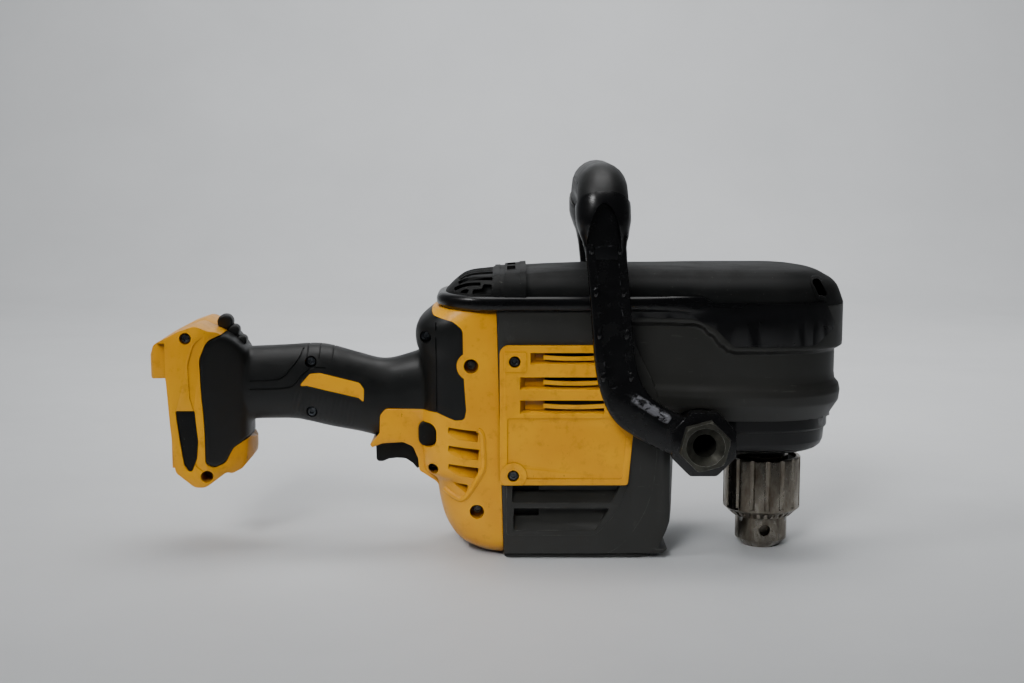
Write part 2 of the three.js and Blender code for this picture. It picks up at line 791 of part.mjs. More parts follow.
// Foot that takes the battery: side outline, then the channel and its rails
const footShares = [
  [0, 0.83, 0],
  [0.07, 0.9, 0],
  [0.27, 0.96, 0],
  [0.47, 0.99, 1],
  [0.74, 0.93, 0],
  [1, 0.84, 0],
  [0.986, 0.34, 0],
  [1.02, 0.27, 0.5],
  [0.9, 0.12, 0.5],
  [0.78, 0.1, 0],
  [0.53, 0, 1],
  [0.3, 0.1, 1],
  [0.19, 0.54, 0],
  [0.175, 0.68, 0],
  [0, 0.67, 0],
];
const footRound = 6;
const footPlanShares = [
  [0, -0.8, 0],
  [0.1, -1, 0],
  [0.5, -1, 3],
  [1, -0.56, 0],
  [1, 0.56, 0],
  [0.5, 1, 3],
  [0.1, 1, 0],
  [0, 0.8, 0],
];
const channelHalf = 31;
const channelDeep = 27;
const channelBack = footRear + channelDeep;
const channelTop = 133;
const rail = { wide: 4, inset: 14, deep: 5, low: 66, high: 126 };
const footRecess = { inset: 25.5, lift: 18, radius: 4.7, floor: 18 };

function footForm(grow) {
  const side = grown(placed(footShares, footRear, footFront, footLow, footHigh, footRound), grow);
  const plan = placed(footPlanShares, footRear, footFront, 0, footHalf, footRound);
  return across(side, -footHalf - grow, footHalf + grow).intersect(
    upright(grown(plan, grow), 0, beyond),
  );
}

function footChannel() {
  const channel = block(footRear - overrun, channelBack, -channelHalf, channelHalf, 0, channelTop);
  const { wide, inset, deep, low, high } = rail;
  const rear = footRear + inset;
  const railBar = block(rear, rear + deep, -channelHalf - overrun, wide - channelHalf, low, high);
  return without(channel, bothSides(railBar));
}

// Rubber on the handle and shoulder, and the moulding left bare in it
const rubberShares = [
  [0, 0.5, 0],
  [0, 1.2, 0],
  [0.84, 1.25, 0],
  [0.986, 1.14, 1],
  [1, 0.27, 1],
  [0.92, 0.27, 1],
  [0.87, 0.34, 0],
  [0.655, 0.34, 0],
  [0.63, -0.1, 0],
  [0, -0.1, 0],
];
const footRubberShares = [
  [0.63, 1, 0],
  [0.31, 0.94, 1],
  [0.09, 0.85, 1],
  [0, 0.7, 1],
  [0.09, 0.31, 0],
  [0.16, 0.05, 1],
  [0.3, 0, 1],
  [0.51, 0, 1],
  [0.65, 0.08, 0],
  [0.9, 0.25, 1],
  [1.2, 0.27, 0],
  [1.2, 1, 0],
];
const footRubber = { inset: 37.5, over: 3, low: 67, high: 172, round: 5 };
const bossRing = 10; // bare moulding round the upper screw
const rubberRear = -272;
const rubberFront = -90;
const rubberLow = 82;
const rubberHigh = 164;
const rubberRound = 5;
const inlayShares = [
  [0, 0.6, 1],
  [0.2, 1, 1],
  [0.85, 0.68, 1],
  [1, 0, 1],
  [0.9, 0.1, 1],
  [0.4, 0.35, 1],
];
const inlay = { rear: -215, front: -169, low: 116, high: 135, round: 3 };
const guardShares = [
  [0.2, 1, 1],
  [0.9, 1, 1],
  [1, 0.3, 1],
  [0.86, 0, 1],
  [0.76, 0.35, 1],
  [0.54, 0.5, 1],
  [0.12, 0.36, 1],
  [0, 0.42, 1],
];
const guard = { rear: -163, front: -118, low: 64.5, high: 108.5, round: 4 };
const trigger = { rear: -159, front: -130, low: 66, high: 96, half: 11, travel: 6.5, round: 4 };
const switchBox = { rear: -168, front: -128, low: 103, high: 130, half: 13 };
const button = { x: -120, z: 91, wide: 13, high: 18, half: 27, travel: 4, round: 6 };

const rubberSide = placed(rubberShares, rubberRear, rubberFront, rubberLow, rubberHigh, rubberRound);
const footRubberSide = placed(
  footRubberShares,
  footRear + footRubber.inset,
  footFront + footRubber.over,
  footRubber.low,
  footRubber.high,
  footRubber.round,
);
const inlaySide = placed(inlayShares, inlay.rear, inlay.front, inlay.low, inlay.high, inlay.round);
const guardSide = placed(guardShares, guard.rear, guard.front, guard.low, guard.high, guard.round);
const rearForm = (grow) => together(gripForm(grow), shoulderForm(grow), footForm(grow));

// Where rubber lies, seen from the side: its outline can grow for the room that it needs
function rubberRegion(grow) {
  const { x, z } = hollowScrews.shell_upper_screw;
  return without(
    throughCut(grown(rubberSide, grow)).add(throughCut(grown(footRubberSide, grow))),
    throughCut(grown(inlaySide, fit - grow)),
    rodAcross(bossRing + fit - grow, x, z, -beyond, beyond, 16),
  );
}

const triggerShares = [
  [0, 0.5, 1],
  [0.03, 0.17, 1],
  [0.17, 0.03, 1],
  [0.59, 0.17, 1],
  [0.8, 0.13, 1],
  [0.95, 0, 1],
  [1, 1, 0],
  [0, 1, 0],
];

function triggerBlock() {
  const { rear, front, low, high, half, round } = trigger;
  return across(placed(triggerShares, rear, front, low, high, round), -half, half, edgeBreak);
}

function oval({ x, z, wide, high, round }, grow, nearY, farY) {
  const corners = grown(
    [
      [x - wide / 2, z - high / 2, round],
      [x + wide / 2, z - high / 2, round],
      [x + wide / 2, z + high / 2, round],
      [x - wide / 2, z + high / 2, round],
    ],
    grow,
  );
  return across(corners, nearY, farY);
}

const directionButton = () => oval(button, 0, -button.half, button.half);

function switchRoom(gap) {
  const { rear, front, low, high, half } = switchBox;
  return block(rear - gap, front + gap, -half - gap, half + gap, low - gap, high + gap);
}

function triggerRoom() {
  const { rear, front, low, half } = trigger;
  const gap = runningGap;
  return block(rear - gap, front + gap, -half - gap, half + gap, low - beyond, switchBox.low + overrun);
}

// Scoops in the shells' sides: rear and front ends of each, from the top one down
const scoopShares = [
  [0, 0.9],
  [0.04, 1],
  [0.06, 0.93],
  [0.12, 0.68],
];
const scoop = { rear: -98, front: -70.5, high: 94, pitch: 13.4, tall: 6, deep: 3.2 };

function scoops() {
  const { rear, front, high, pitch, tall, deep } = scoop;
  return scoopShares.map(([rearShare, frontShare], i) => {
    const top = high - pitch * i;
    const mouth = -shoulderHalf - overrun;
    const profile = [
      [mouth, top - tall],
      [-shoulderHalf + deep / 4, top - tall],
      [-shoulderHalf + deep, top - deep / 4],
      [-shoulderHalf + deep / 2, top],
      [mouth, top],
    ];
    const long = front - rear;
    return bothSides(along(profile, rear + long * rearShare, rear + long * frontShare));
  });
}

// Rooms inside the rear shells
const gripRoom = { rear: -250, front: -174, half: 13, low: 103, high: 143 };
const heelWall = 20; // between the foot's room and its front face
const footRoom = {
  rear: channelBack + shellWall,
  front: footFront - heelWall,
  half: 22,
  low: 88,
  high: 152,
};
const legRoomShares = legShares.filter((_, i) => i % 2 === 0);
const boxRoom = ({ rear, front, half, low, high }) => block(rear, front, -half, half, low, high);

function rearShell() {
  const core = rearForm(-skin);
  const faired = together(core, rearForm(0).subtract(rubberRegion(fit)));
  const guardBody = across(guardSide, -guardHalf, guardHalf, edgeBreak);
  const spigotHalf = bodyHalf - capRound / 2;
  const spigot = block(
    capRear + capRound / 2,
    shoulderFront,
    -spigotHalf,
    spigotHalf,
    shellTop - wall,
    capBottom + wall,
  );
  const legRoom = shoulderForm(-skin - shellWall, legRoomShares)
    .translate([shoulderFront - seamTopX, 0, 0])
    .intersect(block(-beyond, beyond, -beyond, beyond, 0, shellTop - 2 * shellWall));
  const outer = together(faired, spigot);
  const bosses = Object.values(hollowScrews).map(({ x, z, half, deep }) =>
    rodAcross(screw.boss, x, z, deep - half, half - deep, 8).intersect(core),
  );
  const fitted = together(
    without(outer, legRoom, boxRoom(gripRoom), boxRoom(footRoom)),
    guardBody,
    ...bosses,
  );
  const { inset, lift, radius, floor } = footRecess;
  return without(
    fitted,
    footChannel(),
    switchRoom(fit),
    triggerRoom(),
    oval(button, fit, -beyond, beyond),
    bothSides(rodAcross(radius, footFront - inset, footLow + lift, -beyond, -floor, 12)),
    ...scoops(),
    throughCut(grown(housingSide, fit)),
    block(housingSide[0][0] - fit, beyond, -beyond, beyond, 0, baseTop + fit),
  );
}

function gripRubber() {
  const inner = rearForm(-skin + fit);
  const region = without(
    rubberRegion(0),
    throughCut(grown(guardSide, fit)),
    oval(button, fit, -beyond, beyond),
    triggerRoom(),
  );
  return rearForm(0).subtract(inner).intersect(region);
}

const shellBores = Object.values(shellScrews).map(({ x, z, half, deep }) =>
  together(
    rodAcross(screw.recess, x, z, -beyond, deep - half, 8),
    rodAcross(screw.shank + fit, x, z, deep - half - overrun, screw.reach + fit, 6),
  ),
);

// Battery terminals under the hood of the foot
const terminal = { rear: -309, half: 24, low: 116, blade: 9, thick: 0.8, pitch: 14 };
const terminalFront = channelBack - fit;

function terminalBlock() {
  const { rear, half, low } = terminal;
  return block(rear, terminalFront, -half, half, low, channelTop - fit);
}

function terminalBlade(y) {
  const { rear, low, blade, thick } = terminal;
  const inset = (terminalFront - rear) / 4;
  const high = low - fit;
  return block(rear + inset, terminalFront - inset, y - thick / 2, y + thick / 2, high - blade, high);
}

// Ribbed bumper at the top of the handle, against the foot: place and radius shares of its lumps
const bumperShares = [
  [0.26, 0.66, 1],
  [0.56, 0.44, 0.7],
  [0.76, 0.26, 0.6],
  [0.95, 0.06, 0.6],
];
const bumper = { long: 26, drop: 19, over: 5.5, half: 12, radius: 6 };

function heelBumper() {
  const { long, drop, over, half, radius } = bumper;
  const high = footHigh + over;
  const lumps = bumperShares.map(([alongShare, highShare, sizeShare]) => {
    const x = footFront - long * (1 - alongShare);
    return rodAcross(radius * sizeShare, x, high - drop * (1 - highShare), -half, half, 12);
  });
  const core = across(
    [
      [footFront - long * 0.86, high - drop / 2, radius / 2],
      [footFront - long / 2, high - drop / 2, 0],
      [footFront, high - drop, 0],
      [footFront, high - drop * 1.4, 0],
      [footFront - long * 0.86, high - drop * 1.4, 0],
    ],
    -half,
    half,
  );
  return mainBody(without(together(core, ...lumps), footForm(fit), gripForm(fit)));
}

// Bare badge plates set into the sides of the foot
const badgeShares = [
  [0, 1, 1],
  [0.9, 1, 1],
  [1, 0.38, 1],
  [0.56, 0, 1],
];
const badge = { rear: -307, front: -290, low: 64, high: 110, round: 2, thick: 1.4, sunk: 1 };
const badgeSide = placed(badgeShares, badge.rear, badge.front, badge.low, badge.high, badge.round);
const badgePlate = () => across(badgeSide, -footHalf + badge.sunk - badge.thick, -footHalf + badge.sunk);
const badgeRoom = () => across(grown(badgeSide, fit), -beyond, -footHalf + badge.sunk + fit);

// Bail: two flat arms from the pivot, joined over the top by a round bar
const armShares = [
  [1, 0],
  [0.577, 0.074],
  [0.295, 0.169],
  [0.181, 0.297],
  [0.1, 0.493],
  [0.067, 0.71],
  [0.01, 0.95],
  [0, 1.1],
];
const armTop = 238;
const armSteps = 9;
const armNear = bossY + runningGap;
const armMiddle = armNear + armThick / 2;
const eyeRadius = 24;
const eyeSides = 12;
const eyeExtra = 1.2; // the eye is this much thicker than the arm
const grooveShare = 0.3;
const grooveDeep = 3;
const barRadius = 11;
const bendRadius = 30;
const bendSteps = 4;
const barSides = 12;
const coreSides = 8;
const cuffLow = armTop + fit;

function ribbon(halfWide, fromShare) {
  const curve = new THREE.CatmullRomCurve3(
    placed(armShares, barX, pivotX, pivotZ, armTop).map(([x, z]) => new THREE.Vector3(x, z, 0)),
  );
  const stations = Array.from({ length: armSteps + 1 }, (_, i) => {
    const t = fromShare + (1 - fromShare) * (i / armSteps);
    return [curve.getPoint(t), curve.getTangent(t)];
  });
  const edge = (side) =>
    stations.map(([p, tangent]) => [p.x - tangent.y * halfWide * side, p.y + tangent.x * halfWide * side]);
  return [...edge(1), ...edge(-1).reverse()];
}

function bentBar(radius, lowZ, sides = barSides) {
  const corner = barZ - bendRadius;
  const flat = armMiddle - bendRadius;
  const quarter = Array.from({ length: bendSteps + 1 }, (_, i) => (Math.PI / 2) * (i / bendSteps));
  const near = [
    [-armMiddle, lowZ, 0],
    ...quarter.map((a) => [-flat - bendRadius * Math.cos(a), corner + bendRadius * Math.sin(a), a]),
  ];
  const far = near.map(([y, z, a]) => [-y, z, Math.PI - a]).reverse();
  const stations = [...near, ...far];
  const rings = stations.map(([y, z, a]) =>
    Array.from({ length: sides }, (_, i) => {
      const turn = (2 * Math.PI * i) / sides;
      const out = radius * Math.sin(turn);
      return [barX + radius * Math.cos(turn), y - out * Math.cos(a), z + out * Math.sin(a)];
    }),
  );
  return loft(rings);
}

function bailFrame() {
  const below = block(-beyond, beyond, -beyond, beyond, 0, armTop);
  const arm = across(ribbon(armWide / 2, 0), -armNear - armThick, -armNear).intersect(below);
  const eye = rodAcross(eyeRadius, pivotX, pivotZ, -armNear - armThick - eyeExtra, -armNear, eyeSides);
  const groove = across(
    ribbon(armWide * grooveShare, grooveShare),
    -beyond,
    -armNear - armThick + grooveDeep,
  ).intersect(block(-beyond, beyond, -beyond, beyond, 0, armTop - armWide / 2));
  const bore = rodAcross(boltRadius + runningGap, pivotX, pivotZ, -beyond, 0, 16);
  const side = without(together(arm, eye), groove, bore);
  return together(bothSides(side), bentBar(barRadius, armTop - armWide, coreSides));
}

const bailGrip = () =>
  bentBar(bailGripRadius, cuffLow).subtract(bentBar(barRadius + fit, cuffLow - overrun, coreSides));

// Hollow hexagon-headed bolts that hold the bail's eyes to the gear case
const boltHead = { flats: 33, high: 9, recess: 14, recessDeep: 6, bore: 8.5, boreTip: 48 };

function pivotBolt() {
  const seat = armNear + armThick + eyeExtra + runningGap;
  const { flats, high, recess, recessDeep, bore, boreTip } = boltHead;
  const head = new THREE.CylinderGeometry(1, 1, high, 6)
    .scale(flats / Math.sqrt(3), 1, flats / Math.sqrt(3))
    .rotateY(Math.PI / 12)
    .translate(pivotX, -seat - high / 2, pivotZ);
  const shank = rodAcross(boltRadius, pivotX, pivotZ, -seat - overrun, -boltTipY - fit, 16);
  const cone = rodAcross(recess, pivotX, pivotZ, -seat - high, -seat - high + recessDeep, 16, bore);
  const hole = rodAcross(bore, pivotX, pivotZ, -beyond, -boreTip, 16);
  return without(together(solid(head), shank), cone, hole);
}

// Gears with stub teeth; a phase of half turns a tooth space to where a tooth stood
const rootShare = 1.2;
const tipShare = 0.85;
const toothRootShare = 0.27;
const toothTipShare = 0.11;

function gear(module, teeth, x, { low, high }, phaseShare = 0) {
  const root = (module * teeth) / 2 - module * rootShare;
  const tip = (module * teeth) / 2 + module * tipShare;
  const step = (2 * Math.PI) / teeth;
  const points = Array.from({ length: teeth }, (_, i) =>
    [
      [root, -toothRootShare],
      [tip, -toothTipShare],
      [tip, toothTipShare],
      [root, toothRootShare],
    ].map(([radius, share]) => {
      const angle = step * (i + phaseShare + share);
      return new THREE.Vector2(x + radius * Math.cos(angle), radius * Math.sin(angle));
    }),
  ).flat();
  return solid(stacked([[points, low], [points, high]]));
}

function countershaftOne() {
  const shaft = rodUp(countershaftRadius, shaftOneX, 0, caseFloor + fit, caseTop + pocketDeep);
  return together(
    shaft,
    gear(fineModule, firstTeeth, shaftOneX, firstMesh, 1 / 2),
    gear(coarseModule, secondPinionTeeth, shaftOneX, secondMesh),
  );
}

function countershaftTwo() {
  const shaft = rodUp(countershaftRadius, shaftTwoX, 0, headFloor - pocketDeep + fit, caseTop + pocketDeep);
  return together(
    shaft,
    gear(coarseModule, secondTeeth, shaftTwoX, secondMesh, 1 / 2),
    gear(coarseModule, thirdPinionTeeth, shaftTwoX, thirdMesh),
  );
}

const motorShaft = () =>
  together(
    rodUp(bearingCup.shaft, motorX, 0, bearingCup.floor + fit, firstMesh.high),
    gear(fineModule, motorTeeth, motorX, firstMesh),
  );

// Motor
const rotorRadius = 20;
const fan = { low: 26, high: 40, radius: 34, hub: 9, disc: 2, blades: 9, thick: 1.6 };

const rotorCore = () =>
  ringUp(rotorRadius, bearingCup.shaft + fit, motorX, statorLow - webThick, statorHigh, 20);

function motorStator() {
  const bore = rotorRadius + 2 * runningGap;
  const ring = ringUp(statorRadius, bore, motorX, statorLow, statorHigh + webThick, 20);
  const slots = Array.from({ length: 6 }, (_, i) => {
    const turn = (Math.PI / 3) * i;
    const reach = (statorRadius + bore) / 2;
    return rodUp(webThick, motorX + reach * Math.cos(turn), reach * Math.sin(turn), 0, beyond, 6);
  });
  return without(ring, ...slots);
}

function coolingFan() {
  const { low, high, radius, hub, disc, blades, thick } = fan;
  const blade = block(motorX + hub / 2, motorX + radius, -thick / 2, thick / 2, low, high);
  const turns = Array.from({ length: blades }, (_, i) => blade.rotate([0, 0, (360 * i) / blades]));
  const wheel = together(
    rodUp(radius, motorX, 0, high - disc, high, 20),
    rodUp(hub, motorX, 0, low, high, 12),
    ...turns,
  );
  return wheel.subtract(rodUp(bearingCup.shaft + fit, motorX, 0, 0, beyond));
}

// Spindle and chuck
const spindleLow = 46;
const bodyRadius = 23.5;
const bitBore = 7;
const jaw = { radius: 5, long: 40, tilt: Math.PI / 11.25, tipRadius: 3.2, travel: 22, tipLow: 1 };
const jawSides = 10;
const jawAngles = [90, 210, 330];
const nut = { radius: 27, low: 33, high: 50 };
const keyTeeth = 24;
const keyNotch = { deep: 4, wide: 3, inner: 25.6 };
const flute = { count: 8, radius: 14, deep: 1.6 };
const keyHole = { z: 14.6, radius: 4, deep: 8.5 };

function spindleShaft() {
  return turned(
    [
      [0, spindleLow],
      [spindleRadius, spindleLow],
      [spindleRadius, upperBearingLow + bearingHigh],
      [0, upperBearingLow + bearingHigh],
    ],
    spindleX,
    24,
  );
}

const spindleWeb = { inner: 15, outer: 30, deep: 5 };

function spindleGear() {
  const { inner, outer, deep } = spindleWeb;
  const { low, high } = thirdMesh;
  return without(
    together(
      gear(coarseModule, spindleTeeth, spindleX, thirdMesh),
      rodUp(spindleRadius + wall, spindleX, 0, low, upperBearingLow - fit),
    ),
    rodUp(spindleRadius + fit, spindleX, 0, 0, beyond),
    ringUp(outer, inner, spindleX, low - overrun, low + deep, 20),
    ringUp(outer, inner, spindleX, high - deep, high + overrun, 20),
  );
}

// A point along a jaw's slanted path, measured up from where its tip is when the chuck is shut.
function alongJaw(made, angle, slide) {
  return made
    .translate([0, 0, slide])
    .rotate([0, (jaw.tilt * 180) / Math.PI, 0])
    .translate([jaw.tipRadius, 0, 0])
    .rotate([0, 0, angle]);
}

function wedge(gap) {
  const reach = sleeveRadius * 2;
  const corners = [
    [gap * 2, 0],
    [gap * 2 + reach / 2, (reach * Math.sqrt(3)) / 2],
    [gap * 2 + reach * 2, 0],
    [gap * 2 + reach / 2, (-reach * Math.sqrt(3)) / 2],
  ];
  return upright(corners, -beyond, beyond);
}

const jawTipShut = jaw.tipLow - jaw.travel * Math.cos(jaw.tilt);

function chuckJaw(angle) {
  const bar = rodUp(jaw.radius, 0, 0, 0, jaw.long, jawSides);
  const shut = alongJaw(bar, 0, 0).intersect(wedge(fit));
  const level = block(-beyond, beyond, -beyond, beyond, jaw.radius * Math.sin(jaw.tilt), beyond);
  const open = [jaw.travel * Math.sin(jaw.tilt), 0, jawTipShut + jaw.travel * Math.cos(jaw.tilt)];
  return shut.intersect(level).translate(open).rotate([0, 0, angle]).translate([spindleX, 0, 0]);
}

function jawHole(angle) {
  const bar = rodUp(jaw.radius + fit, 0, 0, -beyond / 4, jaw.travel + jaw.long + jaw.radius, jawSides);
  return alongJaw(bar, 0, 0).translate([0, 0, jawTipShut]).rotate([0, 0, angle]).translate([spindleX, 0, 0]);
}

function chuckBody() {
  const step = edgeBreak * 2;
  const form = turned(
    [
      [bitBore, 0],
      [noseRadius - step, 0],
      [noseRadius, step],
      [noseRadius, noseHigh - fit],
      [bodyRadius, noseHigh - fit],
      [bodyRadius, sleeveTop - wall],
      [spindleRadius + wall * 2, sleeveTop - wall],
      [spindleRadius + wall * 2, caseBottom - wall / 2],
      [spindleRadius + fit, caseBottom - wall / 2],
      [spindleRadius + fit, spindleLow - fit],
      [bitBore, spindleLow - fit],
    ],
    spindleX,
    keyTeeth,
  );
  const keys = jawAngles.map((angle) => {
    const rod = rodAcross(keyHole.radius, 0, keyHole.z, -beyond, keyHole.deep - noseRadius, 8);
    return rod.rotate([0, 0, angle - jawAngles[0]]).translate([spindleX, 0, 0]);
  });
  return mainBody(without(form, ...jawAngles.map(jawHole), ...keys));
}

function chuckSleeve() {
  const bore = bodyRadius + fit;
  const lip = edgeBreak;
  const form = turned(
    [
      [bore, noseHigh],
      [sleeveRadius, noseHigh],
      [sleeveRadius, sleeveTop - lip],
      [sleeveRadius - lip, sleeveTop],
      [bore, sleeveTop],
      [bore, nut.high],
      [nut.radius, nut.high],
      [nut.radius, nut.low],
      [bore, nut.low],
    ],
    spindleX,
    keyTeeth,
  );
  const flutes = Array.from({ length: flute.count }, (_, i) => {
    const turn = (2 * Math.PI * (i + 1 / 2)) / flute.count;
    const reach = sleeveRadius + flute.radius - flute.deep;
    return rodUp(
      flute.radius,
      spindleX + reach * Math.cos(turn),
      reach * Math.sin(turn),
      noseHigh + keyNotch.deep * 2,
      sleeveTop - lip * 2,
      10,
    );
  });
  const notchHalf = keyNotch.wide / 2;
  const notch = block(keyNotch.inner, beyond, -notchHalf, notchHalf, 0, noseHigh + keyNotch.deep);
  const notches = Array.from({ length: keyTeeth }, (_, i) =>
    notch.rotate([0, 0, (360 * i) / keyTeeth]).translate([spindleX, 0, 0]),
  );
  return without(form, ...flutes, ...notches);
}

// Speed control module under the top cover
const control = { rear: -34, front: 22, half: 30, high: 28 };
const controlModule = () => {
  const { rear, front, half, high } = control;
  const low = caseTop + fit + lidThick + fit;
  return upright(plate(rear, front, half, edgeBreak, edgeBreak), low, low + high);
};

// Colours: sRGB values read off the photographed materials
const paint = (color, roughness, metalness = 0) =>
  new THREE.MeshStandardMaterial({ color, roughness, metalness });
const materials = {
  yellow: paint("#d99a1c", 0.5),
  rubber: paint("#1b1b1c", 0.8),
  charcoal: paint("#3c3c3e", 0.6),
  matteBlack: paint("#232325", 0.65),
  glossBlack: paint("#101012", 0.25),
  castBlack: paint("#2a2a2b", 0.5, 0.6),
  forged: paint("#222223", 0.45, 0.5),
  steel: paint("#9d9890", 0.35, 1),
  darkSteel: paint("#55524c", 0.4, 1),
  copper: paint("#a86a3c", 0.4, 1),
};

function meshOf(name, made, material) {
  const { numProp, vertProperties, triVerts } = made.getMesh();
  const positions = new THREE.InterleavedBuffer(vertProperties, numProp);
  const geometry = new THREE.BufferGeometry();
  geometry.setAttribute("position", new THREE.InterleavedBufferAttribute(positions, 3, 0));
  geometry.setIndex(new THREE.BufferAttribute(triVerts, 1));
  const flat = geometry.toNonIndexed();
  flat.computeVertexNormals();
  const mesh = new THREE.Mesh(flat, material);
  mesh.name = name;
  return mesh;
}

function groupOf(...meshes) {
  const group = new THREE.Group();
  group.add(...meshes);
  return group;
}

const { yellow, rubber, charcoal, matteBlack, glossBlack } = materials;
const { castBlack, forged, steel, darkSteel, copper } = materials;

const wholeShell = rearShell();
const shellNear = without(wholeShell.intersect(nearSpace), badgeRoom(), ...shellBores);
const shellFar = without(wholeShell.intersect(farSpace), mirrorY(badgeRoom()), ...shellBores);
const wholeRubber = without(gripRubber(), ...shellBores);

const spindleSeat = [spindleBearingRadius, spindleRadius, spindleX];
const cupFloor = bearingCup.floor;
const cupTop = caseFloor + motorBearing.high;
const bearings = [
  ["rotor_bearing_lower", bearingCup.bore, bearingCup.shaft, motorX, cupFloor, cupFloor + bearingCup.high],
  ["rotor_bearing_upper", motorBearing.radius, bearingCup.shaft, motorX, caseFloor, cupTop],
  ["spindle_bearing_lower", ...spindleSeat, headFloor - bearingHigh, headFloor],
  ["spindle_bearing_upper", ...spindleSeat, upperBearingLow, upperBearingLow + bearingHigh - fit],
];

const housing = groupOf(
  meshOf("motor_housing", motorHousing(), charcoal),
  meshOf("base_cap", baseCap(), charcoal),
  meshOf("gear_case", gearCase(), castBlack),
  meshOf("gear_case_lid", gearCaseLid(), castBlack),
  meshOf("nose_cover", noseCover(), charcoal),
  meshOf("top_cover", topCover(), matteBlack),
  meshOf("trim_band", trimBand(), glossBlack),
  meshOf("vent_panel_left", mirrorY(ventPanel()), yellow),
  meshOf("vent_panel_right", ventPanel(), yellow),
  ...bearings.map(([name, ...sizes]) => meshOf(name, bearing(...sizes), steel)),
  meshOf("motor_stator", motorStator(), copper),
  meshOf("control_module", controlModule(), matteBlack),
  meshOf("pivot_bolt_right", pivotBolt(), darkSteel),
  meshOf("pivot_bolt_left", mirrorY(pivotBolt()), darkSteel),
);

const rearHandle = groupOf(
  meshOf("rear_shell_right", mainBody(shellNear), yellow),
  meshOf("rear_shell_left", mainBody(shellFar), yellow),
  meshOf("grip_overmold_right", mainBody(wholeRubber.intersect(nearSpace)), rubber),
  meshOf("grip_overmold_left", mainBody(wholeRubber.intersect(farSpace)), rubber),
  meshOf("heel_bumper", heelBumper(), rubber),
  meshOf("foot_badge_right", badgePlate(), matteBlack),
  meshOf("foot_badge_left", mirrorY(badgePlate()), matteBlack),
  meshOf("terminal_block", terminalBlock(), matteBlack),
  ...[-1, 0, 1].map((i) => meshOf(`terminal_blade_${i + 2}`, terminalBlade(terminal.pitch * i), copper)),
  meshOf("switch_module", switchRoom(0), matteBlack),
  ...Object.entries(shellScrews).map(([name, { x, z, half, deep }]) =>
    meshOf(name, screwAt(x, z, half - deep, screw.reach), darkSteel),
  ),
);

const panelScrewMeshes = Object.entries(panelScrews).flatMap(([name, { x, z }]) => {
  const made = screwAt(x, z, bodyHalf + fit + panelThick + fit, 2 * wall - bodyHalf);
  return [meshOf(`${name}_right`, made, darkSteel), meshOf(`${name}_left`, mirrorY(made), darkSteel)];
});

const part = groupOf(
  housing,
  rearHandle,
  ...panelScrewMeshes,
  groupOf(
    meshOf("motor_shaft", motorShaft(), steel),
    meshOf("rotor_core", rotorCore(), darkSteel),
    meshOf("cooling_fan", coolingFan(), matteBlack),
  ),
  meshOf("countershaft_1", countershaftOne(), steel),
  meshOf("countershaft_2", countershaftTwo(), steel),
  groupOf(
    meshOf("spindle_shaft", spindleShaft(), steel),
    meshOf("spindle_gear", spindleGear(), steel),
    meshOf("chuck_body", chuckBody(), steel),
    meshOf("chuck_sleeve", chuckSleeve(), steel),
    ...jawAngles.map((angle, i) => meshOf(`chuck_jaw_${i + 1}`, chuckJaw(angle), darkSteel)),
  ),
  meshOf("trigger", triggerBlock(), matteBlack),
  meshOf("direction_button", directionButton(), matteBlack),
  groupOf(meshOf("bail_frame", bailFrame(), forged), meshOf("bail_grip", bailGrip(), rubber)),
);

export default part;
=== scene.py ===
import json
import math
import bpy
from mathutils import Matrix, Vector

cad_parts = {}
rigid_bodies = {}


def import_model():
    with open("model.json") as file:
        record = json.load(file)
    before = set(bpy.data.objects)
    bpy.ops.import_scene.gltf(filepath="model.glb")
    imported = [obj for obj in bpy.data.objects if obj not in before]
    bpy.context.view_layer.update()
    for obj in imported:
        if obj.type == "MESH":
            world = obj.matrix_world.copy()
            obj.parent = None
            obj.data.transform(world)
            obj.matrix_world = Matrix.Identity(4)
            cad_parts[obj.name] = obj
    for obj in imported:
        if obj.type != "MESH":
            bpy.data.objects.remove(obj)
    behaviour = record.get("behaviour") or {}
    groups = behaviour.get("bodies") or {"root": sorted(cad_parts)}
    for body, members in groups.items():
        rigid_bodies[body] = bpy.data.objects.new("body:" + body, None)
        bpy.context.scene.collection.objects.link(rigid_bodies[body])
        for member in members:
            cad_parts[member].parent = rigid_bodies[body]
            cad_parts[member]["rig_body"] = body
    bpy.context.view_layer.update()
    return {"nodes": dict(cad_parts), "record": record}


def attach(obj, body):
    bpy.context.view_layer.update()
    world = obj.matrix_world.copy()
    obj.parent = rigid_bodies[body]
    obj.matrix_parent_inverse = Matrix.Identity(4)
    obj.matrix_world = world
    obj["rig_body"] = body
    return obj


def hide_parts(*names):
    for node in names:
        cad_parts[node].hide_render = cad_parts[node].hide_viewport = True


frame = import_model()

scene = bpy.context.scene
nodes = frame["nodes"]
mm = 0.001
print("frame loaded:", len(nodes), "nodes")


def linear(code, alpha=1.0):
    # sRGB hex to the linear colour that the shaders take
    parts = [int(code[i:i + 2], 16) / 255 for i in (0, 2, 4)]
    return tuple(c / 12.92 if c <= 0.04045 else ((c + 0.055) / 1.055) ** 2.4 for c in parts) + (alpha,)


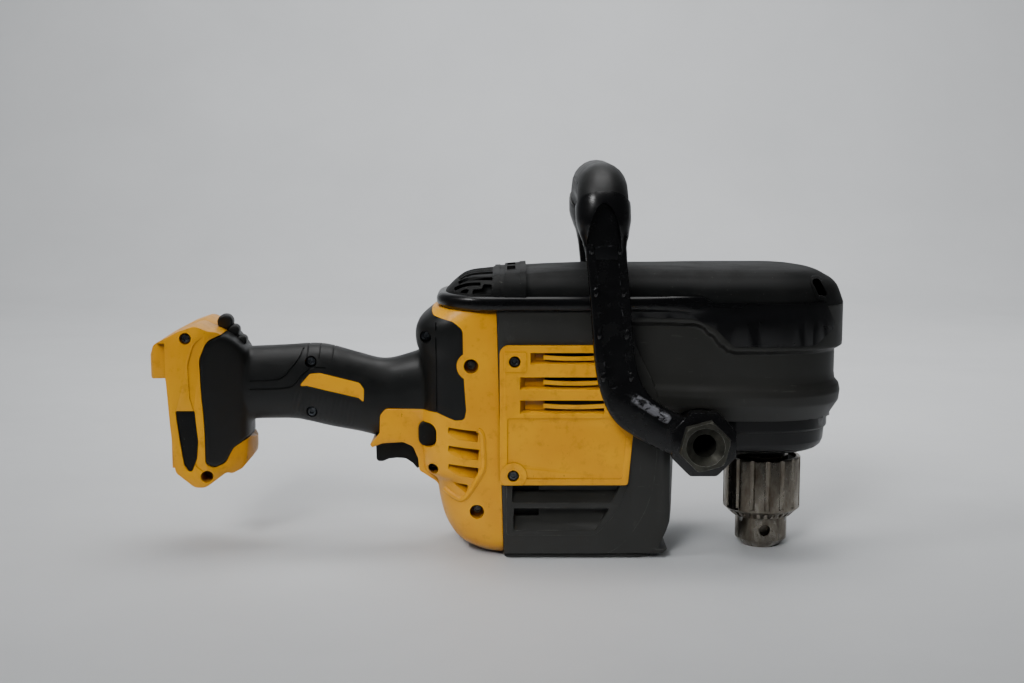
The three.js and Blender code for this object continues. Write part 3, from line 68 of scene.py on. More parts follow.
class Finish:
    # one material while it is made: lengths in millimetres, masks from 0 to 1, colour laid on in layers

    def __init__(self, name, **constants):
        self.made = bpy.data.materials.new(name)
        self.made.use_nodes = True
        self.tree = self.made.node_tree
        self.shader = self.tree.nodes["Principled BSDF"]
        for key, value in constants.items():
            self.shader.inputs[key].default_value = value
        self.coords = self.node("TexCoord").outputs["Object"]

    def node(self, kind, inputs=None, **settings):
        node = self.tree.nodes.new("ShaderNode" + kind)
        for name, value in settings.items():
            setattr(node, name, value)
        for name, value in (inputs or {}).items():
            if isinstance(value, bpy.types.NodeSocket):
                self.tree.links.new(value, node.inputs[name])
            else:
                node.inputs[name].default_value = value
        return node

    def maths(self, operation, *values):
        return self.node("Math", dict(enumerate(values)), operation=operation).outputs[0]

    def dot(self, a, b):
        return self.node("VectorMath", {0: a, 1: b}, operation="DOT_PRODUCT").outputs["Value"]

    def noise(self, size, detail=4, rough=0.55, stretch=None):
        # features of that size, longer along an axis where stretch says so
        coords = self.coords
        if stretch:
            coords = self.node("Mapping", {"Vector": coords, "Scale": stretch}).outputs["Vector"]
        settings = {"Vector": coords, "Scale": 1 / (size * mm), "Detail": detail, "Roughness": rough}
        return self.node("TexNoise", settings).outputs["Fac"]

    def between(self, value, low, high, toLow=0.0, toHigh=1.0):
        settings = {"Value": value, "From Min": low, "From Max": high, "To Min": toLow, "To Max": toHigh}
        return self.node("MapRange", settings).outputs["Result"]

    def cloud(self, noise, low, high, most=1.0):
        # a mask from noise that rises from low to high
        return self.between(self.noise(*noise), low, high, 0, most)

    def along(self, x, z, turn=0):
        # distance from that place along a line in the side view, turned down from +X by that many degrees
        place = {0: self.coords, 1: (x * mm, 0, z * mm)}
        moved = self.node("VectorMath", place, operation="SUBTRACT").outputs[0]
        return self.dot(moved, (math.cos(math.radians(turn)) / mm, 0, -math.sin(math.radians(turn)) / mm))

    def patch(self, x, z, halfLong, halfHigh, turn=0, soft=1.5):
        # one inside a slanted rectangle of the side view, fading over its edge
        masks = []
        for half, angle in ((halfLong, turn), (halfHigh, turn + 90)):
            away = self.maths("ABSOLUTE", self.along(x, z, angle))
            masks.append(self.between(away, half, half - soft))
        return self.maths("MULTIPLY", *masks)

    def ribs(self, x, z, halfLong, halfHigh, turn, pitch):
        # height of moulded ribs that cross such a rectangle
        wave = self.maths("SINE", self.maths("MULTIPLY", self.along(x, z, turn), 2 * math.pi / pitch))
        return self.maths("MULTIPLY", wave, self.patch(x, z, halfLong, halfHigh, turn))

    def rubbed(self, radius, patchSize, low=0.45, high=0.6):
        # one along outer edges, broken up by noise, as where a finish has rubbed through
        rounded = self.node("Bevel", {"Radius": radius * mm}, samples=6).outputs["Normal"]
        edge = self.between(self.dot(rounded, self.node("NewGeometry").outputs["Normal"]), 0.985, 0.86)
        return self.maths("MULTIPLY", edge, self.cloud((patchSize, 5, 0.6), low, high))

    def shades(self, mask, dark, light):
        # the first colour: two shades parted by the mask
        self.colour = linear(dark)
        return self.over(mask, light)

    def over(self, mask, code):
        # one more layer of colour where the mask says so
        layers = {0: mask, 6: self.colour, 7: linear(code)}
        self.colour = self.node("Mix", layers, data_type="RGBA").outputs[2]
        return mask

    def feed(self, socket, value):
        self.tree.links.new(value, self.shader.inputs[socket])

    def done(self, mask, most, smooth, rough, bump=None, strength=0.0, distance=0.0):
        # roughness follows the mask, and the bump is a fine grain
        self.feed("Base Color", self.colour)
        self.feed("Roughness", self.between(mask, 0, most, smooth, rough))
        if bump:
            settings = {"Height": bump, "Strength": strength, "Distance": distance * mm}
            self.feed("Normal", self.node("Bump", settings).outputs["Normal"])
        return self.made


def makeYellowNylon():
    # Glass-filled nylon, moulded in a spark-eroded tool: satin, warm, a soft grain, and painted shade
    # darkening its corners and recesses
    look = Finish("yellowGlassFilledNylon", IOR=1.53)
    look.shades(look.cloud((45, 3), 0.35, 0.7), "DA9A00", "CE8C00")
    smudge = look.over(look.cloud((9, 8, 0.68), 0.54, 0.72, 0.5), "9A6408")
    look.over(look.cloud((2.2, 3, 0.7, (1, 1, 0.35)), 0.69, 0.74, 0.65), "4A3008")
    # painted shade: ambient occlusion turns the nylon a deep orange-brown in corners, pockets and recesses
    hollow = look.node("AmbientOcclusion", {"Distance": 9 * mm}, samples=4).outputs["AO"]
    look.over(look.between(hollow, 0.8, 0.3, 0, 0.85), "6E3A02")
    guardRibs = look.maths("MULTIPLY", look.ribs(-141.5, 94, 12.6, 9, 0, 1.35), 1.6)
    return look.done(smudge, 0.5, 0.38, 0.56, look.maths("ADD", look.noise(0.7, 3), guardRibs), 0.2, 0.15)


def makeOvermold():
    # Thermoplastic elastomer over the nylon: near black, satin, greyed by dust and handling
    look = Finish("blackElastomerOvermold", IOR=1.5)
    dust = look.shades(look.cloud((16, 7, 0.62), 0.45, 0.75, 0.55), "0A0B0B", "181817")
    look.over(look.cloud((3.5, 6, 0.7, (1, 1, 0.4)), 0.66, 0.72, 0.4), "33322F")
    gripRibs = look.maths("MULTIPLY", look.ribs(-199, 109, 25, 10, 12, 3.5), 4)
    return look.done(dust, 0.55, 0.44, 0.62, look.maths("ADD", look.noise(0.6, 2), gripRibs), 0.3, 0.12)


def makeCharcoalNylon():
    # Charcoal glass-filled nylon: matt moulded skin with pale scuffs and dust in its corners
    look = Finish("charcoalGlassFilledNylon", IOR=1.53)
    broad = look.shades(look.cloud((60, 4), 0.35, 0.7), "21211F", "292927")
    look.over(look.cloud((7, 9, 0.72, (1, 1, 0.3)), 0.62, 0.71, 0.5), "444441")
    look.over(look.cloud((7, 4, 0.6, (0.4, 1, 3)), 0.68, 0.72, 0.3), "50504C")
    look.over(look.between(look.rubbed(0.6, 9), 0, 1, 0, 0.7), "74746F")
    return look.done(broad, 1, 0.46, 0.56, look.noise(0.7, 3), 0.15, 0.15)


def makeBlackNylon():
    # Black nylon with a matt eroded texture, dusty on top
    look = Finish("blackTexturedNylon", **{"IOR": 1.53, "Specular IOR Level": 0.34})
    dust = look.shades(look.cloud((22, 8, 0.66), 0.45, 0.72, 0.7), "090A0A", "161615")
    look.over(look.cloud((1.6, 2), 0.7, 0.74, 0.4), "55554F")
    return look.done(dust, 0.7, 0.62, 0.76, look.noise(0.8, 3), 0.25, 0.15)


def makeGlossAbs():
    # Black ABS from a polished tool: glossy, with wiped dust and hair scratches
    look = Finish("polishedBlackAbs", **{"IOR": 1.54, "Specular IOR Level": 0.36})
    wiped = look.shades(look.cloud((30, 6, 0.6, (0.5, 1, 2)), 0.4, 0.75), "030304", "08080A")
    return look.done(wiped, 1, 0.27, 0.4, look.noise(5, 2), 0.04, 0.1)


def makeCastCase():
    # Die-cast aluminium under black powder coat: satin with a fine orange peel
    look = Finish("powderCoatedCasting", IOR=1.5)
    dust = look.shades(look.cloud((18, 7, 0.65), 0.45, 0.75, 0.6), "040405", "0A0A0A")
    return look.done(dust, 0.6, 0.36, 0.55, look.noise(1.1, 3), 0.25, 0.2)


def makeBailPaint():
    # Black enamel on cast aluminium: glossy, chipped to bright metal on edges and knobs, scuffed low down
    look = Finish("chippedBlackEnamel", IOR=1.5)
    dust = look.shades(look.cloud((14, 6, 0.62), 0.45, 0.75, 0.5), "050506", "111111")
    scuffed = look.maths("MULTIPLY", look.patch(43, 118.4, 16.5, 4, 33, 2.5),
                         look.cloud((6, 6, 0.7, (1, 1, 1.6)), 0.44, 0.56))
    chips = look.over(look.maths("MAXIMUM", look.rubbed(0.9, 3.2, 0.58, 0.68), scuffed), "9A9AA0")
    look.feed("Metallic", look.between(chips, 0, 1, 0, 0.7))
    return look.done(dust, 0.5, 0.2, 0.42, look.noise(1.6, 3), 0.12, 0.2)


def makeBoltSteel():
    # Turned steel, phosphated: dull olive grey, rubbed bright on its corners
    look = Finish("phosphatedSteel")
    mottle = look.shades(look.cloud((6, 7, 0.66), 0.35, 0.7), "3A3A35", "55544C")
    bright = look.over(look.rubbed(0.7, 4, 0.35, 0.5), "B4B3AC")
    look.feed("Metallic", look.between(bright, 0, 1, 0.75, 1))
    return look.done(mottle, 1, 0.42, 0.58, look.noise(0.9, 3), 0.2, 0.1)


def makeChuckSteel():
    # Hardened and ground steel, oiled: bright with a brown cast where oxide has begun
    look = Finish("groundChuckSteel", Metallic=1.0)
    tarnish = look.shades(look.cloud((9, 7, 0.65, (1, 1, 0.4)), 0.38, 0.7), "8F8A80", "5A4E40")
    look.over(look.cloud((1.6, 4), 0.66, 0.72, 0.6), "3B2E22")
    return look.done(tarnish, 1, 0.24, 0.4, look.noise(0.5, 2, 0.5, (1, 1, 12)), 0.1, 0.05)


def makeMottled(name, noise, low, high, shades, smooth, rough, **constants):
    # Plain ground of one kind, mottled in colour and sheen: screws, hidden inner metal, the floor
    look = Finish(name, **constants)
    return look.done(look.shades(look.cloud(noise, low, high), *shades), 1, smooth, rough)


def makePlainMetal(name, shades, rough):
    # Machined inner parts, hidden but for glimpses: a mottled metal
    return makeMottled(name, (5, 5, 0.6), 0.35, 0.7, shades, rough - 0.06, rough + 0.08, Metallic=1.0)


def makeScrewSteel():
    # Black-oxide screws, rubbed grey on their heads
    shades = ("42464C", "85888A")
    return makeMottled("blackOxideSteel", (2.5, 5, 0.6), 0.4, 0.7, shades, 0.3, 0.5, Metallic=1.0)


def makeFloorVinyl():
    # Matt pale vinyl sheet, faintly uneven
    shades = ("C9CBCD", "C1C3C5")
    return makeMottled("paleVinylSheet", (300, 5, 0.6), 0.3, 0.75, shades, 0.5, 0.62, IOR=1.5)


finishes = {
    "yellow_nylon": makeYellowNylon(),
    "overmold_rubber": makeOvermold(),
    "charcoal_plastic": makeCharcoalNylon(),
    "black_plastic": makeBlackNylon(),
    "gloss_black_plastic": makeGlossAbs(),
    "gear_case_metal": makeCastCase(),
    "bail_metal": makeBailPaint(),
    "bolt_steel": makeBoltSteel(),
    "chuck_steel": makeChuckSteel(),
    "gear_steel": makePlainMetal("groundGearSteel", ("7C7B78", "A5A39E"), 0.32),
    "screw_steel": makeScrewSteel(),
    "motor_core": makePlainMetal("laminatedCoreSteel", ("3C3D40", "595A5C"), 0.45),
    "copper": makePlainMetal("barePlatedCopper", ("8C5A38", "B87B50"), 0.3),
}
print("materials made:", len(finishes))


stageLook = {"half": 2.6, "front": -0.5, "back": 2.4, "wall": 2.4, "round": 0.9, "near": 0.01}


def editEdges(piece, test, step):
    # runs the step in edit mode with the edges selected whose ends pass the test
    bpy.ops.object.mode_set(mode="EDIT")
    bpy.ops.mesh.select_mode(type="EDGE")
    bpy.ops.mesh.select_all(action="DESELECT")
    bpy.ops.object.mode_set(mode="OBJECT")
    for edge in piece.data.edges:
        edge.select = all(test(piece.data.vertices[i].co) for i in edge.vertices)
    bpy.ops.object.mode_set(mode="EDIT")
    step()
    bpy.ops.object.mode_set(mode="OBJECT")


def makeSweep():
    # floor and backdrop in one bent sheet: its back edge is drawn up, then the corner rounded
    look = stageLook
    rise = {"value": (0, 0, look["wall"])}
    atBack = look["back"] - look["near"]
    bpy.ops.object.select_all(action="DESELECT")
    bpy.ops.mesh.primitive_plane_add(size=1, location=(0, (look["front"] + look["back"]) / 2, 0))
    sweep = bpy.context.object
    sweep.scale = (2 * look["half"], look["back"] - look["front"], 1)
    bpy.ops.object.transform_apply(location=True, rotation=True, scale=True)
    editEdges(sweep, lambda end: end.y > atBack,
              lambda: bpy.ops.mesh.extrude_region_move(TRANSFORM_OT_translate=rise))
    editEdges(sweep, lambda end: end.y > atBack and end.z < look["near"],
              lambda: bpy.ops.mesh.bevel(offset=look["round"], segments=16, affect="EDGES"))
    bpy.ops.object.shade_smooth()
    sweep.name = "sweep"
    sweep.data.materials.append(makeFloorVinyl())


makeSweep()

# area lamps, in metres, watts and degrees; the black plastic mirrors only the two that say so
lamps = {
    "overhead": {"at": (-0.05, 0.25, 1.7), "aim": (-0.02, 0.12, 0), "size": 1.2, "power": 5, "spread": 100,
                 "mirrored": True},
    "highLeft": {"at": (-1.1, -0.5, 1.5), "aim": (-0.05, 0, 0.2), "size": 0.35, "power": 1, "spread": 60,
                 "mirrored": True},
    "frontFill": {"at": (-0.7, -1.9, 1.5), "aim": (0, 0.1, 0.15), "size": 0.8, "power": 2.5, "spread": 36,
                  "mirrored": False},
    "backdrop": {"at": (0, 0.7, 1.9), "aim": (0, 2.3, 0.6), "size": 1.6, "power": 48, "spread": 150,
                 "mirrored": False},
}
for lampName, lamp in lamps.items():
    data = bpy.data.lights.new(lampName, "AREA")
    data.energy = lamp["power"]
    data.size = lamp["size"]
    data.spread = math.radians(lamp["spread"])
    light = bpy.data.objects.new(lampName, data)
    scene.collection.objects.link(light)
    light.visible_glossy = lamp["mirrored"]
    light.location = lamp["at"]
    light.rotation_euler = (Vector(lamp["aim"]) - light.location).to_track_quat("-Z", "Y").to_euler()

world = bpy.data.worlds.new("studio")
world.use_nodes = True
background = world.node_tree.nodes["Background"].inputs
background["Color"].default_value = linear("DDE0E4")
background["Strength"].default_value = 0.1
scene.world = world

# target and distance in millimetres, pitch in degrees, focal length and frame width in pixels
cameraLook = {"target": (-57, 157), "distance": 1220, "pitch": 8, "focal": 1605, "frame": 1024, "sensor": 36}
cameraData = bpy.data.cameras.new("camera")
cameraData.sensor_width = cameraLook["sensor"]
cameraData.lens = cameraLook["focal"] / cameraLook["frame"] * cameraLook["sensor"]
camera = bpy.data.objects.new("camera", cameraData)
scene.collection.objects.link(camera)
pitch = math.radians(cameraLook["pitch"])
targetX, targetZ = cameraLook["target"]
camera.location = (
    targetX * mm,
    -cameraLook["distance"] * math.cos(pitch) * mm,
    (targetZ + cameraLook["distance"] * math.sin(pitch)) * mm,
)
camera.rotation_euler = (math.pi / 2 - pitch, 0, 0)
scene.camera = camera
print("stage, light and camera set")


# what all pieces are made with, in millimetres and degrees
def selectOnly(piece):
    bpy.ops.object.select_all(action="DESELECT")
    piece.select_set(True)
    bpy.context.view_layer.objects.active = piece


def applied(piece, kind, **settings):
    selectOnly(piece)
    modifier = piece.modifiers.new(kind.lower(), kind)
    for key, value in settings.items():
        setattr(modifier, key, value)
    bpy.ops.object.modifier_apply(modifier=modifier.name)
    return piece


def inEdit(piece, *steps):
    # runs the steps in edit mode with all selected
    selectOnly(piece)
    bpy.ops.object.mode_set(mode="EDIT")
    bpy.ops.mesh.select_all(action="SELECT")
    for step in steps:
        step()
    bpy.ops.object.mode_set(mode="OBJECT")
    return piece


def settledPlace(name):
    # the new primitive gets its name, and its place goes into its mesh
    piece = bpy.context.object
    piece.name = name
    bpy.ops.object.transform_apply(location=True, rotation=True, scale=True)
    return piece


def cylinderAt(name, at, radius, long, axis="Z", sides=64, spin=0, tip=None):
    # a cylinder, or a cone with that radius at its tip
    bpy.ops.object.select_all(action="DESELECT")
    quarter, spin = math.pi / 2, math.radians(spin)
    turn = {"X": (0, quarter, 0), "Y": (quarter, spin, 0), "Z": (0, 0, spin)}[axis]
    settings = {"vertices": sides, "depth": long * mm, "location": [c * mm for c in at], "rotation": turn}
    if tip is None:
        bpy.ops.mesh.primitive_cylinder_add(radius=radius * mm, **settings)
    else:
        bpy.ops.mesh.primitive_cone_add(radius1=radius * mm, radius2=tip * mm, **settings)
    return settledPlace(name)


def boxAt(name, low, high):
    bpy.ops.object.select_all(action="DESELECT")
    bpy.ops.mesh.primitive_cube_add(size=1, location=[(a + b) / 2 * mm for a, b in zip(low, high)])
    bpy.context.object.scale = [(b - a) * mm for a, b in zip(low, high)]
    return settledPlace(name)


def ballAt(name, at, radii, turn=(0, 0, 0), segments=16, rings=10):
    bpy.ops.object.select_all(action="DESELECT")
    settings = {"segments": segments, "ring_count": rings, "rotation": [math.radians(t) for t in turn]}
    bpy.ops.mesh.primitive_uv_sphere_add(radius=1, location=[c * mm for c in at], **settings)
    bpy.context.object.scale = [r * mm for r in radii]
    return settledPlace(name)


def roundedOutline(corners, steps=6):
    # corners of (u, v, radius) with each one's radius turned into an arc, as far as its edges allow
    points = []
    for i, corner in enumerate(corners):
        here = Vector(corner[:2])
        radius = corner[2] if len(corner) > 2 else 0
        before = Vector(corners[i - 1][:2]) - here
        after = Vector(corners[(i + 1) % len(corners)][:2]) - here
        half = before.angle(after) / 2
        if not radius or half > 1.55:
            points.append(tuple(here))
            continue
        reach = min(radius / math.tan(half), 0.48 * before.length, 0.48 * after.length)
        centre = here + (before.normalized() + after.normalized()).normalized() * reach / math.cos(half)
        start = here + before.normalized() * reach - centre
        end = here + after.normalized() * reach - centre
        sweep = math.atan2(start.x * end.y - start.y * end.x, start.dot(end))
        for k in range(steps + 1):
            turn = sweep * k / steps
            arm = Vector((start.x * math.cos(turn) - start.y * math.sin(turn),
                          start.x * math.sin(turn) + start.y * math.cos(turn)))
            points.append(tuple(centre + arm))
    return points


def outlinePlate(name, corners, low, high, axis="Y"):
    # a plate from an outline of (u, v, corner radius), extruded from low to high along the axis
    points = roundedOutline(corners)
    bpy.ops.object.select_all(action="DESELECT")
    bpy.ops.mesh.primitive_circle_add(vertices=len(points), radius=1)
    piece = bpy.context.object
    piece.name = name
    place = {
        "X": lambda u, v: (low * mm, u * mm, v * mm),
        "Y": lambda u, v: (u * mm, low * mm, v * mm),
        "Z": lambda u, v: (u * mm, v * mm, low * mm),
    }[axis]
    for vertex, point in zip(piece.data.vertices, points):
        vertex.co = place(*point)
    way = {"X": (1, 0, 0), "Y": (0, 1, 0), "Z": (0, 0, 1)}[axis]
    move = {"value": [w * (high - low) * mm for w in way]}
    return inEdit(
        piece,
        lambda: bpy.ops.mesh.edge_face_add(),
        lambda: bpy.ops.mesh.extrude_region_move(TRANSFORM_OT_translate=move),
        lambda: bpy.ops.mesh.select_all(action="SELECT"),
        lambda: bpy.ops.mesh.normals_make_consistent(inside=False),
    )


def stationBody(name, stations, axis="Z", ring=32, square=0.0):
    # a body drawn through rings of (along, middle u, middle v, half u, half v); square flattens its sides
    bpy.ops.object.select_all(action="DESELECT")
    along, u, v, halfU, halfV = [s * mm for s in stations[0]]
    place = {
        "X": lambda a, b, c: (a, b, c),
        "Y": lambda a, b, c: (b, a, c),
        "Z": lambda a, b, c: (b, c, a),
    }[axis]
    turn = {"Z": (0, 0, 0), "X": (math.pi / 2, 0, math.pi / 2), "Y": (math.pi / 2, 0, 0)}[axis]
    bpy.ops.mesh.primitive_circle_add(vertices=ring, radius=1, location=place(along, u, v), rotation=turn)
    piece = bpy.context.object
    piece.name = name
    if square:
        for vertex in piece.data.vertices:
            a, b = vertex.co.x, vertex.co.y
            vertex.co.x = math.copysign(abs(a) ** (1 - square), a)
            vertex.co.y = math.copysign(abs(b) ** (1 - square), b)
    piece.scale = (halfU, halfV, 1)
    bpy.ops.object.transform_apply(location=True, rotation=True, scale=True)
    selectOnly(piece)
    bpy.ops.object.mode_set(mode="EDIT")
    bpy.ops.mesh.select_mode(type="VERT")
    bpy.ops.mesh.select_all(action="SELECT")
    bpy.ops.mesh.edge_face_add()
    last = stations[0]
    for station in stations[1:]:
        step = [(b - a) * mm for a, b in zip(last, station)]
        bpy.ops.mesh.extrude_region_move(TRANSFORM_OT_translate={"value": place(*step[:3])})
        grow = place(1, station[3] / last[3], station[4] / last[4])
        centre = [c * mm for c in place(*station[:3])]
        bpy.ops.transform.resize(value=grow, center_override=centre)
        last = station
    bpy.ops.mesh.select_all(action="SELECT")
    bpy.ops.mesh.normals_make_consistent(inside=False)
    bpy.ops.object.mode_set(mode="OBJECT")
    return piece


def smoothLine(points, steps):
    # a Catmull-Rom line through the points, with that many steps between two of them
    ends = [tuple(2 * a - b for a, b in zip(points[0], points[1]))]
    tail = [tuple(2 * a - b for a, b in zip(points[-1], points[-2]))]
    padded = ends + [tuple(p) for p in points] + tail
    line = []
    for i in range(1, len(padded) - 2):
        p0, p1, p2, p3 = padded[i - 1:i + 3]
        for k in range(steps):
            t = k / steps
            line.append(tuple(
                0.5 * (2 * b + (c - a) * t + (2 * a - 5 * b + 4 * c - d) * t * t
                       + (3 * b - a - 3 * c + d) * t ** 3)
                for a, b, c, d in zip(p0, p1, p2, p3)
            ))
    line.append(tuple(points[-1]))
    return line


def outward(line, closed=False):
    # the direction square to a line at each of its points, to the right of its run
    last = len(line) - 1
    ways = []
    for i in range(len(line)):
        before, after = line[max(i - 1, 0)], line[min(i + 1, last)]
        if closed:
            before, after = line[i - 1], line[(i + 1) % len(line)]
        along = Vector((after[0] - before[0], after[1] - before[1])).normalized()
        ways.append((along.y, -along.x))
    return ways


def ribbonOutline(points, halves, steps):
    # both edges of a band that follows the points, with its half width at each
    line = smoothLine([(*p, h) for p, h in zip(points, halves)], steps)
    left, right = [], []
    for (x, z, half), (outX, outZ) in zip(line, outward(line)):
        left.append((x - outX * half, z - outZ * half))
        right.append((x + outX * half, z + outZ * half))
    return left + right[::-1]


def cut(piece, cutter, operation="DIFFERENCE"):
    applied(piece, "BOOLEAN", object=cutter, operation=operation, solver="EXACT")
    bpy.data.objects.remove(cutter, do_unlink=True)
    return piece


def joined(name, parts):
    selectOnly(parts[0])
    for part in parts[1:]:
        part.select_set(True)
    if len(parts) > 1:
        bpy.ops.object.join()
    parts[0].name = name
    return parts[0]


def copyOf(piece, name):
    selectOnly(piece)
    bpy.ops.object.duplicate()
    made = bpy.context.object
    made.name = name
    return made


def turnAbout(piece, spot, turn):
    # turned by the matrix about a spot given in metres
    place = Matrix.Translation(spot)
    piece.data.transform(place @ turn @ place.inverted())
    return piece


def turnedCopies(piece, centre, count):
    # copies turned evenly round the vertical through the centre
    made = [piece]
    for i in range(1, count):
        turn = Matrix.Rotation(2 * math.pi * i / count, 4, "Z")
        made.append(turnAbout(copyOf(piece, piece.name + str(i)), [c * mm for c in centre], turn))
    return made


def mirrored(piece, name):
    # the same piece for the other side
    made = copyOf(piece, name)
    made.scale = (1, -1, 1)
    selectOnly(made)
    bpy.ops.object.transform_apply(location=True, rotation=True, scale=True)
    return inEdit(made, lambda: bpy.ops.mesh.normals_make_consistent(inside=False))


def smoothed(piece, angle=38):
    selectOnly(piece)
    bpy.ops.object.shade_smooth_by_angle(angle=math.radians(angle))
    return piece


def rimmed(piece, width, angle=35, segments=3):
    # rounds the sharp edges and shades what is left smooth
    applied(
        piece,
        "BEVEL",
        width=width * mm,
        segments=segments,
        limit_method="ANGLE",
        angle_limit=math.radians(angle),
        use_clamp_overlap=True,
    )
    return smoothed(piece, angle)


def tubeAlong(name, spots, radius, fine):
    # a closed tube that follows the spots
    curve = bpy.data.curves.new(name, "CURVE")
    curve.dimensions = "3D"
    spline = curve.splines.new("POLY")
    spline.points.add(len(spots) - 1)
    for point, spot in zip(spline.points, spots):
        point.co = (*[c * mm for c in spot], 1)
    curve.bevel_depth = radius * mm
    curve.bevel_resolution = fine
    curve.use_fill_caps = True
    tube = bpy.data.objects.new(name, curve)
    scene.collection.objects.link(tube)
    selectOnly(tube)
    bpy.ops.object.convert(target="MESH")
    return bpy.context.object


def eased(value, low, high):
    t = min(max((value - low) / (high - low), 0), 1)
    return t * t * (3 - 2 * t)


def tableAt(table, value):
    # smooth steps between the rows of a table
    for (a, atA), (b, atB) in zip(table, table[1:]):
        if value <= b:
            return atA + (atB - atA) * eased(value, a, b)
    return table[-1][1]


def rowAt(rows, value):
    # the rest of a table's row at that value of its first column, straight between two rows
    for a, b in zip(rows, rows[1:]):
        if value <= b[0]:
            t = (value - a[0]) / (b[0] - a[0])
            return [p + (q - p) * t for p, q in zip(a[1:], b[1:])]
    return None


def mergedCopy(nodeName, pieceName):
    # a copy of a CAD node with its loose triangles joined into faces
    selectOnly(nodes[nodeName])
    bpy.ops.object.duplicate()
    piece = bpy.context.object
    piece.parent = None
    piece.matrix_world = Matrix.Identity(4)
    for key in [k for k in piece.keys() if k.startswith("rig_")]:
        del piece[key]
    piece.name = pieceName
    return inEdit(
        piece,
        lambda: bpy.ops.mesh.remove_doubles(threshold=0.005 * mm),
        lambda: bpy.ops.mesh.dissolve_limited(angle_limit=math.radians(0.4)),
    )


def settle(piece, body, slot, *replaced):
    piece.data.materials.clear()
    piece.data.materials.append(finishes[slot])
    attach(piece, body)
    if replaced:
        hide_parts(*replaced)
    return piece


def settlePair(piece, name, body, slot, node):
    # the piece for the right side and its mirror image for the left; {} stands for the side
    settle(mirrored(piece, name.format("left")), body, slot, node.format("left"))
    piece.name = name.format("right")
    settle(piece, body, slot, node.format("right"))


slotOf = {row["node"]: row["material_slot"] for row in frame["record"]["subparts"]}
bodyOf = {name: node["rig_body"] for name, node in nodes.items()}


# bail: two channelled arms with eyes, cuffs and a grip, on a pivot at x and z
bail = {
    "pivot": (81.5, 92),
    "line": [(81.5, 92), (66, 97), (50.4, 103.5), (37, 111.5), (28, 120), (20.8, 134.5), (17, 152),
             (14.9, 175), (12.6, 203), (9.9, 231), (8.4, 250), (8, 268)],
    "halves": [15, 14.5, 14.2, 14.8, 15.6, 15, 14.6, 14.5, 14.5, 14.5, 14.5, 14],
    "near": 60.2,
    "thick": 12,
    "rim": 6.6,
    "channel": 2.8,
    "channelEnd": (9.8, 235),
    "pocketDeep": 2.2,
    "pocket": [(30.9, 126.6, 0.8), (38.4, 124.6, 3), (46.5, 117.4, 3), (54, 111.6, 0.8), (49.5, 110.6, 3),
               (41.5, 115.2, 3), (34.4, 121.4, 3)],
    "eyeRadius": 25.4,
    "eyeThick": 13.2,
    "hole": 12,
    "knobs": [(9.8, 232.6), (12.7, 202.3), (15.3, 172), (18.6, 141.2)],
    "knobOut": 9.8,
    "knobRadii": (1.9, 1.7, 3.8),
    "bar": {"at": (8, 0, 274), "radius": 11, "long": 112},
}


def makeBailArm():
    # the near arm: a curved band with a channel and a pocket, an eight-sided eye, and rows of small knobs
    near, outer = -bail["near"], -bail["near"] - bail["thick"]
    pivotX, pivotZ = bail["pivot"]
    arm = outlinePlate("bailArm", ribbonOutline(bail["line"], bail["halves"], 4), outer, near)
    rimmed(arm, 2.6, 38, 4)
    line = bail["line"][5:9] + [bail["channelEnd"]]
    halves = [bail["halves"][9] - bail["rim"]] * len(line)
    cut(arm, outlinePlate("channel", ribbonOutline(line, halves, 4), outer - 2, outer + bail["channel"]))
    cut(arm, outlinePlate("pocket", bail["pocket"], outer - 2, outer + bail["pocketDeep"]))
    eyeAt = (pivotX, near - bail["eyeThick"] / 2, pivotZ)
    eye = cylinderAt("bailEye", eyeAt, bail["eyeRadius"], bail["eyeThick"], "Y", 8, 22.5)
    cut(arm, rimmed(eye, 1.6, 30, 2), "UNION")
    cut(arm, cylinderAt("eyeHole", (pivotX, -66, pivotZ), bail["hole"], 30, "Y", 48))
    rimmed(arm, 1.1, 38, 3)
    knobs = []
    for i, (x, z) in enumerate(bail["knobs"]):
        for side in (-1, 1):
            at = (x + side * bail["knobOut"], outer + 0.3, z)
            knobs.append(ballAt(f"knob{i}", at, bail["knobRadii"], (0, 4, 0), 12, 8))
    return joined("bailArm", [arm, *knobs])


armRight = makeBailArm()
armLeft = mirrored(armRight, "bailArmFar")
bar = cylinderAt("bailBar", bail["bar"]["at"], bail["bar"]["radius"], bail["bar"]["long"], "X", 32)
turnAbout(bar, Vector(bail["bar"]["at"]) * mm, Matrix.Rotation(math.pi / 2, 4, "Z"))
settle(smoothed(joined("bail_arms", [armRight, armLeft, bar])), "bail", "bail_metal", "bail_frame")

grip = {
    "x": 8,
    "z": 274.8,
    "radius": 18.6,
    "cuff": 19.9,
    "bend": 30,
    "middle": 66.2,
    "split": 37,
    "grooves": 12,
    "groovePitch": 8.4,
    "grooveRadii": (1.3, 1.2, 8.5),
    "grooveTurn": 28,
    "low": 244,
    "cuffRows": (226, 230, 234, 238, 242),
    "cuffMiddle": [(226, 10.4), (238, 9.2), (250, 8.1), (258, 8)],
    "cuffAcross": [(226, 14.8), (234, 15.3), (238, 16), (243, 17.6), (248, 19), (253, 19.8), (258, 19.9)],
    "cuffThrough": [(226, 8), (230, 9.2), (234, 11.4), (238, 13.8), (243, 16.4), (248, 18.4), (253, 19.6),
                    (258, 19.9)],
    "cuffArch": [(-110, 8, 222, 13.6, 46), (-71.9, 8, 222, 13, 44)],
}


